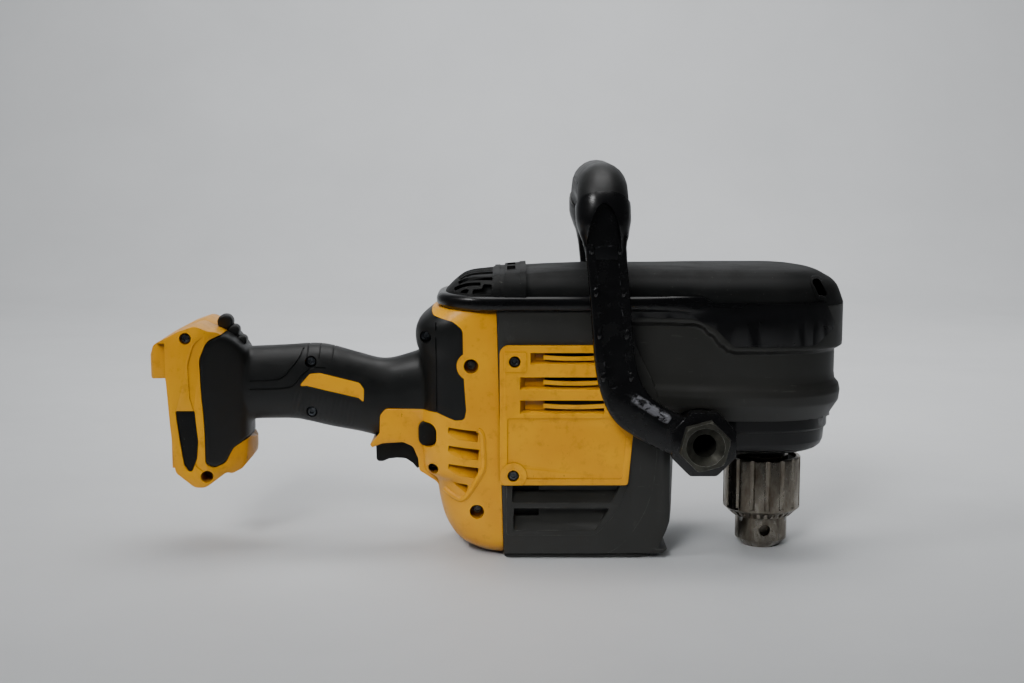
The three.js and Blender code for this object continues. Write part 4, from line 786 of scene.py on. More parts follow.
def bentTube(name, radius, rows):
    # a tube up one arm through the rows, over the bar and down the other
    bend, middle = grip["bend"], grip["middle"]
    path = [(-middle, z) for z in rows]
    for i in range(13):
        turn = math.pi / 2 * i / 12
        path.append((-middle + bend - bend * math.cos(turn), grip["z"] - bend + bend * math.sin(turn)))
    path += [(-y, z) for y, z in reversed(path)]
    return inEdit(
        tubeAlong(name, [(grip["x"], y, z) for y, z in path], radius, 10),
        lambda: bpy.ops.mesh.remove_doubles(threshold=0.02 * mm),
        lambda: bpy.ops.mesh.normals_make_consistent(inside=False),
    )


def splitTube(tube, clear, side):
    # cuts the tube square to its run, where the matt grip ends and the glossy cuff begins
    turn = math.radians(grip["split"])
    plane = {
        "plane_co": (0, side * (grip["middle"] - grip["bend"]) * mm, (grip["z"] - grip["bend"]) * mm),
        "plane_no": (0, -side * math.sin(turn), math.cos(turn)),
    }
    return inEdit(tube, lambda: bpy.ops.mesh.bisect(use_fill=True, **plane, **{clear: True}))


sleeve = bentTube("bail_grip_sleeve", grip["radius"], (grip["low"],))
for side in (-1, 1):
    splitTube(sleeve, "clear_inner", side)
grooves = []
for i in range(grip["grooves"]):
    for front in (-1, 1):
        along = grip["groovePitch"] * (i - (grip["grooves"] - 1) / 2)
        at = (grip["x"] + front * (grip["radius"] - 0.4), along, grip["z"] + 3)
        groove = ballAt("groove", at, grip["grooveRadii"], (0, 0, 0), 12, 8)
        turn = Matrix.Rotation(math.radians(grip["grooveTurn"] * front), 4, "X")
        grooves.append(turnAbout(groove, Vector(at) * mm, turn))
cut(sleeve, joined("grooves", grooves))
rimmed(sleeve, 0.5, 40, 2)
settle(sleeve, "bail", "overmold_rubber", "bail_grip")


def makeCuff():
    # glossy end of the grip, drawn in along the arm and arched over it
    wide = grip["cuff"]
    cuff = splitTube(bentTube("bailCuff", wide, grip["cuffRows"]), "clear_outer", -1)
    for point in cuff.data.vertices:
        z = point.co.z / mm
        if z < grip["cuffMiddle"][-1][0]:
            middle, halfX, halfY = (tableAt(grip[k], z) for k in ("cuffMiddle", "cuffAcross", "cuffThrough"))
            point.co.x = (middle + (point.co.x / mm - grip["x"]) * halfX / wide) * mm
            point.co.y = ((point.co.y / mm + grip["middle"]) * halfY / wide - grip["middle"]) * mm
    cut(cuff, stationBody("arch", grip["cuffArch"], axis="Y", ring=64))
    return rimmed(cuff, 0.9, 35, 3)


settlePair(makeCuff(), "bail_cuff_{}", "bail", "gloss_black_plastic", "bail_grip")
print("bail made")


# hollow hexagon bolts: a chamfered head on a shank, with a coned recess and a bore
bolt = {
    "seat": 73.9,
    "high": 9,
    "flats": 33,
    "chamfer": (23.6, 17.6),
    "shank": 11.4,
    "recess": 14,
    "recessDeep": 6,
    "bore": 8.5,
    "tip": 45,
}


def makeBolt():
    # the near bolt, its head outward
    seat, high, deep = bolt["seat"], bolt["high"], bolt["recessDeep"]
    x, z = bail["pivot"]
    wide, narrow = bolt["chamfer"]
    made = cylinderAt("bolt", (x, -seat - high / 2, z), bolt["flats"] / math.sqrt(3), high, "Y", 6, 15)
    cut(made, cylinderAt("chamfer", (x, -seat - high / 2, z), wide, high, "Y", 96, tip=narrow), "INTERSECT")
    rimmed(made, 0.5, 20, 2)
    shankAt = (x, -(seat + bolt["tip"]) / 2, z)
    cut(made, cylinderAt("shank", shankAt, bolt["shank"], seat - bolt["tip"] + 2, "Y", 48), "UNION")
    coneAt = (x, -seat - high + deep / 2, z)
    cut(made, cylinderAt("cone", coneAt, bolt["bore"], deep + 0.2, "Y", 64, tip=bolt["recess"]))
    cut(made, cylinderAt("bore", (x, -seat, z), bolt["bore"], 60, "Y", 64))
    return rimmed(made, 0.35, 30, 2)


settlePair(makeBolt(), "hex_bolt_{}", "root", "bolt_steel", "pivot_bolt_{}")
print("bolts made")


# keyed chuck on the vertical through x: a fluted sleeve with teeth for the key, a nose with three key holes
chuck = {
    "x": 135,
    "nose": 19.7,
    "noseHigh": 24,
    "noseTip": 14,
    "sleeve": 29.2,
    "sleeveTip": 22.4,
    "top": 69.8,
    "recess": 26,
    "bore": 20,
    "flutes": 16,
    "fluteRadius": 2.5,
    "fluteOut": 1.2,
    "fluteFoot": 8,
    "teeth": 28,
    "tooth": ((-6.4, -1.3, -1), (3, 1.3, 4.4)),
    "upper": 19.6,
    "mouth": 7.4,
    "keyHigh": 14.6,
    "keyHole": (4, 4.8),
    "collar": 13,
    "seal": (25.7, 17, 13.3),
}


def makeSleeve():
    # the turning sleeve: flutes round it, teeth and a cone at its lower edge, a recess for the seal
    x, low, top = chuck["x"], chuck["noseHigh"], chuck["top"]
    high, foot, edge = top - low, chuck["fluteFoot"], x + chuck["sleeve"]
    sleeve = cylinderAt("chuck_sleeve_knurl", (x, 0, (low + top) / 2), chuck["sleeve"], high, "Z", 120)
    rimmed(sleeve, 1.4, 40, 3)
    fluteAt = (edge + chuck["fluteOut"], 0, (low + foot + top) / 2)
    flute = cylinderAt("flute", fluteAt, chuck["fluteRadius"], high - foot + 0.2, "Z", 32)
    turnAbout(flute, Vector((x, 0, 0)) * mm, Matrix.Rotation(math.radians(-90), 4, "Z"))
    for one in turnedCopies(flute, (x, 0, 0), chuck["flutes"]):
        cut(sleeve, one)
    tooth = boxAt("tooth", *[(edge + a, b, low + c) for a, b, c in chuck["tooth"]])
    cut(sleeve, joined("teeth", turnedCopies(tooth, (x, 0, 0), chuck["teeth"])))
    tip = chuck["sleeveTip"]
    cut(sleeve, cylinderAt("cone", (x, 0, low + 30), tip, 60, "Z", 120, tip=tip + 64), "INTERSECT")
    cut(sleeve, cylinderAt("recess", (x, 0, top), chuck["recess"], 9, "Z", 96))
    cut(sleeve, cylinderAt("through", (x, 0, (low + top) / 2), chuck["bore"], 80, "Z", 96))
    rimmed(sleeve, 0.3, 25, 2)
    return settle(sleeve, "chuck_sleeve", "chuck_steel", "chuck_sleeve")


def makeChuckBody():
    # the nose with its mouth and key holes, and the part inside the sleeve
    x, high, tip = chuck["x"], chuck["noseHigh"], chuck["noseTip"]
    hole, flare = chuck["keyHole"]
    body = cylinderAt("chuck_nose", (x, 0, high / 2), chuck["nose"], high, "Z", 96)
    cut(body, cylinderAt("noseCone", (x, 0, 30), tip, 60, "Z", 96, tip=tip + 58), "INTERSECT")
    rimmed(body, 1, 30, 3)
    cut(body, cylinderAt("upper", (x, 0, 46), chuck["upper"], 50, "Z", 96), "UNION")
    cut(body, cylinderAt("mouth", (x, 0, 3), chuck["mouth"], 40, "Z", 48))
    keyHole = cylinderAt("keyHole", (x, -16, chuck["keyHigh"]), hole, 16, "Y", 32)
    keyFlare = cylinderAt("keyFlare", (x, -19.4, chuck["keyHigh"]), hole, 1.6, "Y", 32, tip=flare)
    for one in turnedCopies(keyHole, (x, 0, 0), 3) + turnedCopies(keyFlare, (x, 0, 0), 3):
        cut(body, one)
    cut(body, cylinderAt("collar", (x, 0, 72.5), chuck["collar"], 9, "Z", 64), "UNION")
    rimmed(body, 0.3, 30, 2)
    return settle(body, "spindle", "chuck_steel", "chuck_body")


def makeSeal():
    # the black ring in the sleeve's top, with a neck up to the gear case
    x = chuck["x"]
    wide, neck, bore = chuck["seal"]
    seal = cylinderAt("chuck_seal", (x, 0, 66.6), wide, 2, "Z", 96)
    cut(seal, cylinderAt("sealNeck", (x, 0, 70.6), neck, 7.6, "Z", 64), "UNION")
    cut(seal, cylinderAt("sealBore", (x, 0, 67), bore, 20, "Z", 64))
    rimmed(seal, 0.8, 40, 2)
    return settle(seal, "spindle", "black_plastic")


makeSleeve()
makeChuckBody()
makeSeal()
print("chuck made")


def loftRings(name, rings):
    # a closed skin through rings of equal point counts: a circle extruded ring by ring, then put in place
    count = len(rings[0])
    bpy.ops.object.select_all(action="DESELECT")
    bpy.ops.mesh.primitive_circle_add(vertices=count, radius=1, fill_type="NGON")
    piece = bpy.context.object
    piece.name = name
    rise = {"value": (0, 0, 1)}
    inEdit(piece, *[lambda: bpy.ops.mesh.extrude_region_move(TRANSFORM_OT_translate=rise)] * (len(rings) - 1))
    for vertex in piece.data.vertices:
        turn = (math.atan2(vertex.co.y, vertex.co.x) - math.pi / 2) / (2 * math.pi) * count
        vertex.co = [c * mm for c in rings[round(vertex.co.z)][round(turn) % count]]
    return inEdit(piece, lambda: bpy.ops.mesh.normals_make_consistent(inside=False))


# head: roof, band and nose cover share one plan
head = {
    "rear": -108.5,
    "bodyHalf": 47,
    "round": 36,
    "half": 54,
    "front": 192.4,
    "nose": 58.6,
    "swell": (40, 95),
    "squareness": 1.15,
    "capBottom": 189,
    "capHigh": 26.2,
    "capLine": [(0, 0, 0, 0), (0.28, 0.04, 0.08, 0), (0.5, 0.15, 0.16, 0.06), (0.66, 0.26, 0.28, 0.24),
                (0.78, 0.37, 0.44, 0.45), (0.85, 0.54, 0.54, 0.57), (0.89, 0.86, 0.61, 0.65),
                (0.95, 1.36, 0.76, 0.8), (1, 2, 1, 1.1)],
    "slopes": (44, 33, 15),
    "wall": 2.5,
    "gap": 0.3,
}


def noseArc(front, nose, half, steps):
    # the elliptical nose of a plan outline, from its widest place to the middle line
    spots = []
    for i in range(steps + 1):
        turn = math.pi / 2 * i / steps
        narrow = 0 if i == steps else math.cos(turn) ** (1 / head["squareness"])
        spots.append((front - nose + nose * math.sin(turn), half * narrow))
    return spots


def swollen(x, rearHalf, half):
    # half width where the body swells to the head
    return rearHalf + (half - rearHalf) * eased(x, *head["swell"])


def planLine(rear, rearHalf, curve, half, front, nose, rows=(10, 30, 22)):
    # plan outline: round at the rear, swelling to the head, with an elliptical nose
    side = []
    for i in range(rows[0] + 1):
        turn = math.pi / 2 * i / rows[0]
        side.append((rear + curve * (1 - math.cos(turn)), rearHalf - curve * (1 - math.sin(turn))))
    start, end = side[-1][0], front - nose
    for i in range(1, rows[1]):
        x = start + (end - start) * i / rows[1]
        side.append((x, swollen(x, rearHalf, half)))
    side += noseArc(front, nose, half, rows[2])
    return [(x, -y) for x, y in side] + side[-2::-1]


def drawnIn(plan, ways, z, inset):
    # the outline at that height, drawn in by what inset says for each x
    return [(x - outX * inset(x), y - outY * inset(x), z) for (x, y), (outX, outY) in zip(plan, ways)]


def capSkin(name, inset, foot=None):
    # the roof's form, drawn in by the inset; foot carries it down to that height
    rearSlope, frontSlope, sideSlope = head["slopes"]
    rings = []
    for high, rear, front, side in smoothLine(head["capLine"], 3):
        plan = planLine(
            head["rear"] + inset + rearSlope * rear,
            head["bodyHalf"] - inset - sideSlope * side,
            head["round"] - inset - sideSlope * side * head["round"] / head["bodyHalf"],
            head["half"] - inset - sideSlope * side,
            head["front"] - inset - frontSlope * front,
            head["nose"] - inset - frontSlope * front,
        )
        rings.append([(x, y, head["capBottom"] + (head["capHigh"] - inset) * high) for x, y in plan])
    if foot is not None:
        rings.insert(0, [(*point[:2], foot) for point in rings[0]])
    return loftRings(name, rings)


roof = {
    "saddle": [(-70, -66, 1.2), (-66, -62.4, 0.7), (-62.4, -51.2, 2), (-51.2, -46.6, 2.5)],
    "baffle": 3.6,
    "saddleLow": 190,
    "saddlePocket": ((-60.6, 5, 206), (-54.4, 33, 240)),
    "slots": {"rear": -100, "front": -71.5, "low": 206, "wide": 4.4, "first": 2.2, "pitch": 7.6, "count": 3,
              "bend": 0.9},
    "flankSlots": [[(-91, 209.2), (-85, 211), (-71.2, 212)], [(-96.5, 204), (-90, 207), (-82, 208.3),
                    (-71.2, 208.8)], [(-99.5, 199.8), (-93, 203), (-86, 204.6), (-80, 205)]],
    "flankHalf": 1.15,
    "windows": [[(-86.5, 198, 1), (-72, 198, 1), (-71.6, 205.2, 1), (-77.6, 205.2, 1), (-79, 201.8, 1),
                 (-85, 201.4, 1)], [(-97, 198, 1), (-90, 198, 1), (-87.4, 201.4, 1), (-92, 200.8, 1)]],
    "noseSlot": [(168, 208.8, 2.8), (161, 208.8, 2.8), (167.5, 195.4, 2.8), (175, 195.4, 2.8)],
    "rim": 1.9,
    "rimProud": 0.7,
    "markProud": 0.35,
    "markWide": 1.4,
    "pocketDeep": 0.4,
    "flankReach": (18, 60),
    "rimReach": (20, 80),
    "slotReach": (24, 80),
    "mark": [(52, 200, 3), (68, 200, 3), (68, 211, 3), (52, 211, 3)],
}


def grownOutline(corners, grow):
    # the outline moved outward from its middle, good for small ovals
    midU = sum(c[0] for c in corners) / len(corners)
    midV = sum(c[1] for c in corners) / len(corners)
    moved = []
    for u, v, radius in corners:
        place = (u + math.copysign(grow, u - midU), v + math.copysign(grow, v - midV))
        moved.append((*place, max(radius + grow, 0)))
    return moved


def pivotBosses(radius):
    x, z = bail["pivot"]
    return cylinderAt("bosses", (x, 0, z), radius, 200, "Y", 64)


def within(piece, low, high):
    return cut(piece, boxAt("within", low, high), "INTERSECT")


def makeRoof():
    # the hollow roof with its saddle for the bail, vents in the rear and flanks, and a frame on each side
    body = capSkin("roof_shell", 0)
    for rear, front, proud in roof["saddle"]:
        strap = within(capSkin("strap", -proud), (rear, -80, roof["saddleLow"]), (front, 80, 240))
        cut(body, strap, "UNION")
    pocket = cut(capSkin("pocket", -4), capSkin("floor", roof["pocketDeep"]))
    (rear, inner, low), (front, outer, high) = roof["saddlePocket"]
    for side in (-1, 1):
        reach = sorted((side * inner, side * outer))
        piece = copyOf(pocket, "pocketSide")
        cut(body, within(piece, (rear, reach[0], low), (front, reach[1], high)))
    bpy.data.objects.remove(pocket)
    openings = [ribbonOutline(line, [roof["flankHalf"]] * len(line), 3) for line in roof["flankSlots"]]
    for side in (-1, 1):
        for corners in openings + roof["windows"]:
            cut(body, outlinePlate("flankSlot", corners, *sorted(side * y for y in roof["flankReach"])))
        reach = sorted(side * y for y in roof["rimReach"])
        outline = grownOutline(roof["noseSlot"], roof["rim"])
        rim = cut(capSkin("rim", -roof["rimProud"]), outlinePlate("rimRegion", outline, *reach), "INTERSECT")
        cut(body, rim, "UNION")
        mark = capSkin("mark", -roof["markProud"])
        cut(mark, outlinePlate("region", roof["mark"], *reach), "INTERSECT")
        cut(mark, outlinePlate("middle", grownOutline(roof["mark"], -roof["markWide"]), *reach))
        cut(body, mark, "UNION")
        cut(body, outlinePlate("slot", roof["noseSlot"], *sorted(side * y for y in roof["slotReach"])))
    cut(body, capSkin("hollow", head["wall"], foot=head["capBottom"] - 1))
    slots = roof["slots"]
    cutters = []
    for i in range(slots["count"]):
        for side in (-1, 1):
            inner = side * (slots["first"] + slots["pitch"] * i)
            near, far = sorted((inner, inner + side * slots["wide"]))
            rear = slots["rear"] + i * i * slots["bend"]
            cutters.append(boxAt("slot", (rear, near, slots["low"]), (slots["front"], far, 240)))
    cut(body, joined("slots", cutters))
    rimmed(body, 0.55, 38, 2)
    # painted shade: a black inner shell under the rear vents stands in for the shaded inside, so the slots
    # and windows read dark
    baffle = within(capSkin("roof_shade_sheet", roof["baffle"]), (head["rear"], -70, 192), (-68.5, 70, 240))
    rimmed(baffle, 0.6, 38, 2)
    settle(baffle, "root", "black_plastic")
    return settle(body, "root", "black_plastic", "top_cover")


band = {
    "outline": [(-114, 185.6, 0), (6, 185.6, 2), (11, 181.2, 2), (75.6, 181.2, 7), (90, 174.6, 5),
                (104, 160.9, 5), (164.3, 160.9, 5), (182, 174, 6), (172.5, 192.3, 3), (90, 192.3, 8),
                (81, 197, 8), (-114, 197, 0)],
    "bulge": 5,
    "fieldBulge": 1.6,
    "low": 185.6,
    "high": 197,
    "blend": (30, 92),
}


def makeBand():
    # the glossy band between roof and head, bulging at the rear and flat over the field
    low, high = band["low"], band["high"]
    plan = planLine(*[head[k] for k in ("rear", "bodyHalf", "round", "half", "front", "nose")])
    ways = outward(plan, closed=True)
    rings = []
    for z in [158, 180] + [low + (high - low) * i / 14 for i in range(15)]:
        t = min(max((z - low) / (high - low), 0), 1)
        belly = (1 - abs(2 * t - 1) ** 2.2) ** 0.6

        def inset(x):
            share = eased(x, *band["blend"])
            return -((band["bulge"] * (0.12 + 0.88 * belly)) * (1 - share) + band["fieldBulge"] * share)

        rings.append(drawnIn(plan, ways, z, inset))
    body = loftRings("trim_band_gloss", rings)
    cut(body, outlinePlate("bandRegion", band["outline"], -90, 90), "INTERSECT")
    cut(body, capSkin("inner", -head["gap"], foot=150))
    rimmed(body, 0.5, 38, 2)
    return settle(body, "root", "gloss_black_plastic", "trim_band")


cover = {
    "rows": [103.6, 104.2] + [104.7 + 84 * i / 70 for i in range(71)],
    "lower": [(103.6, 9.2), (115.4, 1.7), (122.7, 0.8), (127.5, 1.8), (131.2, 4.9), (136.5, 5.6)],
    "ledge": [(20, 174.2), (75.4, 174.2), (80, 172.6), (87.5, 166.6), (96, 158), (100.7, 154.4),
              (106, 153.6), (200, 153.6)],
    "ledgeHigh": 4.4,
    "fieldInset": 5.6,
    "hollow": [(97, 12.2), (106, 12.2), (124, 9.4), (189.5, 9.4)],
    "rear": 20,
    "bosses": 22.8,
    "seam": [(-63, 0, 0), (49.9, 0, 0), (61.3, 28.3, 8), (63.3, 74, 4), (60.3, 107.6, 4), (52.3, 113.1, 4),
             (48.2, 129.7, 8), (33.2, 161, 8), (27.3, 188.7, 0), (27.3, 200, 0), (-68, 200, 0)],
}


def coverInset(x, z):
    # how far the cover lies in from the head's widest outline: a lower lip, a field, a ledge above it
    row = rowAt(cover["lower"], z)
    if row:
        return row[0]
    low = tableAt(cover["ledge"], x)
    return cover["fieldInset"] * (1 - eased(z, low, low + cover["ledgeHigh"]))


def makeNoseCover():
    # the moulded cover round the gear case, hollow, cut back at the seam to the panels
    rear, front, nose = cover["rear"], head["front"], head["nose"]
    step = (front - nose - rear) / 64
    side = [(rear + step * i, swollen(rear + step * i, head["bodyHalf"], head["half"])) for i in range(64)]
    side += noseArc(front, nose, head["half"], 24)
    plan = [(x, -y) for x, y in side] + side[-2::-1]
    ways = outward(plan)
    rings = [drawnIn(plan, ways, z, lambda x: coverInset(x, z)) for z in cover["rows"]]
    body = loftRings("nose_cover_shell", rings)
    inner = []
    for z, inset in cover["hollow"]:
        ring = drawnIn(plan, ways, z, lambda x: inset)
        inner.append([(max(x, rear - 4), y, z) for x, y, z in ring])
    cut(body, loftRings("coverHollow", inner))
    cut(body, outlinePlate("seamRegion", cover["seam"], -90, 90))
    cut(body, pivotBosses(cover["bosses"]))
    rimmed(body, 0.5, 38, 2)
    return settle(body, "root", "charcoal_plastic", "nose_cover")


makeRoof()
makeBand()
makeNoseCover()
print("head made")


# vent panels: raised plates with three bays of bowed fins over a blank field
vent = {
    "outline": [(-66, 57, 2), (-66, 161, 6.5), (14.4, 161, 2.5), (13, 117.5, 0), (32, 95, 4),
                (28.4, 57, 2.5)],
    "field": [(-60.5, 61.5, 3), (-60.5, 107, 2), (16.5, 107, 3), (27.2, 93.4, 3), (24.4, 61.5, 2.5)],
    "near": -50.3,
    "far": -47.3,
    "box": (-53.5, 13, 108.6, 157.5),
    "boxDeep": 7,
    "bays": [(-43.5, 147.4, 155.4), (-51, 128.6, 137.4), (-51, 110.8, 120.2)],
    "front": 10.8,
    "open": -33,
    "fin": {"high": 3.1, "bow": 0.9, "sunk": 0.7, "thick": 2.4},
    "fieldDeep": 0.8,
    "screws": [(-55, 149), (-56, 64)],
    "pad": [(-8, -7.4), (8.6, -7.4), (8.6, 7.2), (-8, 7.2)],
    "padHigh": 0.7,
    "ring": 9.8,
    "hole": 4.3,
}


def bowLine(x, mid):
    # the fins sag in their middle
    rear, front = vent["open"], vent["front"]
    t = (x - rear) / (front - rear)
    return mid - 4 * vent["fin"]["bow"] * t * (1 - t)


def makeVentPanel():
    # the near panel: bays with a fin in each, a sunk field, a pad and a ring for the screws
    near, deep, fin = vent["near"], vent["boxDeep"], vent["fin"]
    inside, start, end = near + deep, vent["open"], vent["front"]
    body = outlinePlate("vent_panel_moulded_right", vent["outline"], near, vent["far"])
    rear, front, low, high = vent["box"]
    cut(body, boxAt("bayBlock", (rear, near + 0.6, low), (front, inside + 2, high)), "UNION")
    cut(body, outlinePlate("fieldCut", vent["field"], near - 1, near + vent["fieldDeep"]))
    for rear, low, high in vent["bays"]:
        profile = [(near - 1, low - 0.9, 0), (near - 1, high + 0.4, 0), (near + 1, high, 0),
                   (inside, high, 0), (inside, low + 1.7, 0), (near + 2.6, low + 1.2, 0),
                   (near + 0.1, low - 0.3, 0)]
        cut(body, outlinePlate("bay", profile, rear, end, "X"))
        cut(body, boxAt("opening", (start, near - 1, low + 1.6), (end, near + 20, high)))
        mid = (low + 1.6 + high) / 2
        xs = [start - 1 + (end + 2 - start) * i / 12 for i in range(13)]
        upper = [(x, bowLine(x, mid) + fin["high"] / 2, 0) for x in xs]
        lower = [(x, bowLine(x, mid) - fin["high"] / 2, 0) for x in reversed(xs)]
        out = near + fin["sunk"]
        cut(body, outlinePlate("fin", upper + lower, out, out + fin["thick"]), "UNION")
        wedge = [(rear - 0.3, near + 1.5, 0), (rear - 0.3, inside + 0.5, 0), (rear + 4, inside + 0.5, 0)]
        cut(body, outlinePlate("slope", wedge, low, high, "Z"), "UNION")
    (padX, padZ), (ringX, ringZ) = vent["screws"]
    pad = [(padX + x, padZ + z, 1.5) for x, z in vent["pad"]]
    cut(body, outlinePlate("pad", pad, near - vent["padHigh"], near + 2), "UNION")
    ring = cylinderAt("ring", (ringX, near + 1, ringZ), vent["ring"], 3.4, "Y", 64)
    cut(ring, outlinePlate("ringRegion", vent["outline"], near - 3, near + 4), "INTERSECT")
    cut(body, ring, "UNION")
    for x, z in vent["screws"]:
        cut(body, cylinderAt("hole", (x, near, z), vent["hole"], 12, "Y", 40))
    return rimmed(body, 0.45, 35, 2)


settlePair(makeVentPanel(), "vent_panel_moulded_{}", "root", "yellow_nylon", "vent_panel_{}")
print("vent panels made")


# handle: grip, shoulder and the flare into the foot are skins, melted together and parted by outlines
handle = {
    "gripLine": [(-0.04, 0.19, 0.96, 0.95), (0.24, 0.2, 0.985, 0.97), (0.35, 0.167, 1, 1),
                 (0.45, 0.118, 0.985, 1), (0.6, 0.06, 0.9, 0.95), (0.73, 0, 0.84, 0.93),
                 (0.865, 0, 0.9, 1.08), (1.06, -0.05, 1.05, 1.35)],
    "gripBox": (-262, -114, 84, 156, 21),
    "square": 2.4,
    "legLine": [(0, 0.44, 0.8), (0.04, 0.6, 0.95), (0.11, 0.73, 0.99), (0.19, 0.8, 1), (0.29, 0.86, 1),
                (0.33, 1, 1), (0.45, 1.03, 1), (0.6, 1.02, 1), (0.78, 1.02, 1), (0.85, 1.08, 1),
                (0.93, 1.06, 1), (1, 0.85, 0.96)],
    "legBox": (-124, -60, 3, 186.7, 46, 34),
    "flare": [(-286, 0, 128, 35, 33), (-276, 0, 128, 30, 32), (-268, 0, 127, 24.5, 30),
              (-258, 0, 126, 20.8, 28.2)],
    "voxel": 1.6,
    "melt": 6,
    "rubber": [(-300, 40, 0), (-300, 200, 0), (-117.5, 200, 0), (-116.5, 181.3, 4), (-100.5, 177.8, 6),
               (-93, 172, 6), (-92.6, 140, 0), (-90.7, 112, 0), (-92, 105, 3.5), (-99, 104.4, 4),
               (-112.5, 109.3, 5), (-152.2, 109, 5), (-156.4, 103.5, 4), (-156.9, 89.5, 4), (-163.6, 82, 0),
               (-163.6, 40, 0)],
    "boss": (-87, 145, 10.6),
    "inlay": [(-216.5, 126.2, 0.8), (-208.6, 135.4, 3), (-201, 136, 3), (-171.6, 128.4, 4),
              (-168.2, 123.5, 2.5), (-168.6, 113.6, 0.6), (-172.2, 117, 2.5), (-210.6, 126.4, 2)],
    "guard": [(-112, 109, 3), (-152, 108.7, 5), (-156.2, 103.5, 4), (-156.7, 89.5, 5), (-164, 81.8, 0.8),
              (-162.4, 79.4, 0.8), (-154.6, 82.6, 6), (-139, 83.6, 6), (-131.6, 80.3, 5), (-127.7, 71, 4),
              (-126.9, 61.8, 3), (-114.6, 53.8, 6), (-106, 44, 0), (-90, 44, 0), (-90, 106, 0)],
    "guardHalf": 22.5,
    "button": [(-126.9, 81.6, 6.4), (-113.1, 81.6, 6.4), (-113.1, 100.4, 6.4), (-126.9, 100.4, 6.4)],
    "triggerRoom": ((-161, -11.6, 40), (-127.2, 11.6, 104)),
    "seam": [(-63.4, -20, 0), (-63.4, 4, 0), (-68.5, 188.7, 0), (-68.5, 210, 0), (40, 210, 0),
             (40, -20, 0)],
    "base": ((-64, -60, -1), (-40, 60, 4.7)),
    "parting": 0.15,
    "scoops": [(-103.6, -81.6, 99), (-103.6, -81.2, 85.4), (-103.6, -81.8, 71.6), (-103.6, -89.6, 57.6)],
    "scoopTurn": (-45, 8, 7),
    "scoopForm": [(-52, 8), (-46.6, 8), (-41, 1.6), (-40.6, 0), (-52, 0)],
    "ridge": [(-82.4, 97.6), (-80, 96), (-78.6, 92), (-78, 82), (-77.6, 70), (-81, 62.6), (-87.4, 51.6),
              (-91, 46.4), (-95, 44.4), (-101, 46.6), (-106.6, 50.4)],
    "ridgeTube": (1.2, 2.4),
    "shoulderTube": (0.4, 0.9),
    "creaseTube": (0.25, 0.75),
    "grooveTube": (0.2, 0.7),
    "shoulderCrease": (-112.5, 110, 180),
    "creases": [[(-214, 153.5), (-216.5, 147), (-223, 138.5), (-230, 132), (-241, 130.2), (-254, 129.6)],
                [(-197, 139.6), (-208, 139.4), (-216, 132), (-223.6, 125.4), (-238, 124), (-254, 123.8)]],
    "topGrooves": (-210.6, -201.6, -191.8),
}


def gripSpan(lowShare, highShare):
    low, high = handle["gripBox"][2:4]
    return low + (high - low) * lowShare, low + (high - low) * highShare


def gripRow(x):
    # middle height, half height and half width of the grip at that place
    rear, front = handle["gripBox"][:2]
    lowShare, highShare, halfShare = rowAt(handle["gripLine"], (x - rear) / (front - rear))
    bottom, top = gripSpan(lowShare, highShare)
    return (bottom + top) / 2, (top - bottom) / 2, handle["gripBox"][4] * halfShare


def gripSkin(name):
    rear, front = handle["gripBox"][:2]
    power = 2 / handle["square"]
    rings = []
    for share, lowShare, highShare, halfShare in smoothLine(handle["gripLine"], 6):
        low, high = gripSpan(lowShare, highShare)
        half = handle["gripBox"][4] * halfShare
        ring = []
        for i in range(48):
            c, s = math.cos(2 * math.pi * i / 48), math.sin(2 * math.pi * i / 48)
            y = half * math.copysign(abs(c) ** power, c)
            z = (low + high) / 2 + (high - low) / 2 * math.copysign(abs(s) ** power, s)
            ring.append((rear + (front - rear) * share, y, z))
        rings.append(ring)
    return loftRings(name, rings)


def legSkin(name):
    legRear, legFront, low, high, half, nose = handle["legBox"]
    rings = []
    for heightShare, rearShare, halfShare in smoothLine(handle["legLine"], 4):
        rear = legFront + (legRear - legFront) * rearShare
        wide = half * halfShare
        curve = min(nose, legFront - rear - 1.2)
        side = []
        for i in range(13):
            turn = math.pi / 2 * i / 12
            side.append((rear + curve * (1 - math.cos(turn)), wide - nose + nose * math.sin(turn)))
        side.append((legFront, wide))
        z = low + (high - low) * heightShare
        rings.append([(x, -y, z) for x, y in side] + [(x, y, z) for x, y in side[::-1]])
    return loftRings(name, rings)


def legHalf(x, z):
    # half width of the shoulder and shell at that place
    legRear, legFront, low, high, half, nose = handle["legBox"]
    rearShare, halfShare = rowAt(handle["legLine"], (z - low) / (high - low))
    rear = legFront + (legRear - legFront) * rearShare
    curve = min(nose, legFront - rear - 1.2)
    depth = min(max(x - rear, 0), curve)
    return half * halfShare - nose + math.sqrt(max(curve * curve - (curve - depth) ** 2, 0))


def surfaceTube(name, spots, radius):
    # a thin tube, to press a line into a surface or raise one on it
    tube = tubeAlong(name, spots, radius, 2)
    return inEdit(tube, lambda: bpy.ops.mesh.normals_make_consistent(inside=False))


def nearHalf(piece):
    # what lies on the near side of the handle's parting
    plane = {"plane_co": (0, -handle["parting"] * mm, 0), "plane_no": (0, 1, 0)}
    return inEdit(piece, lambda: bpy.ops.mesh.bisect(use_fill=True, clear_outer=True, **plane))


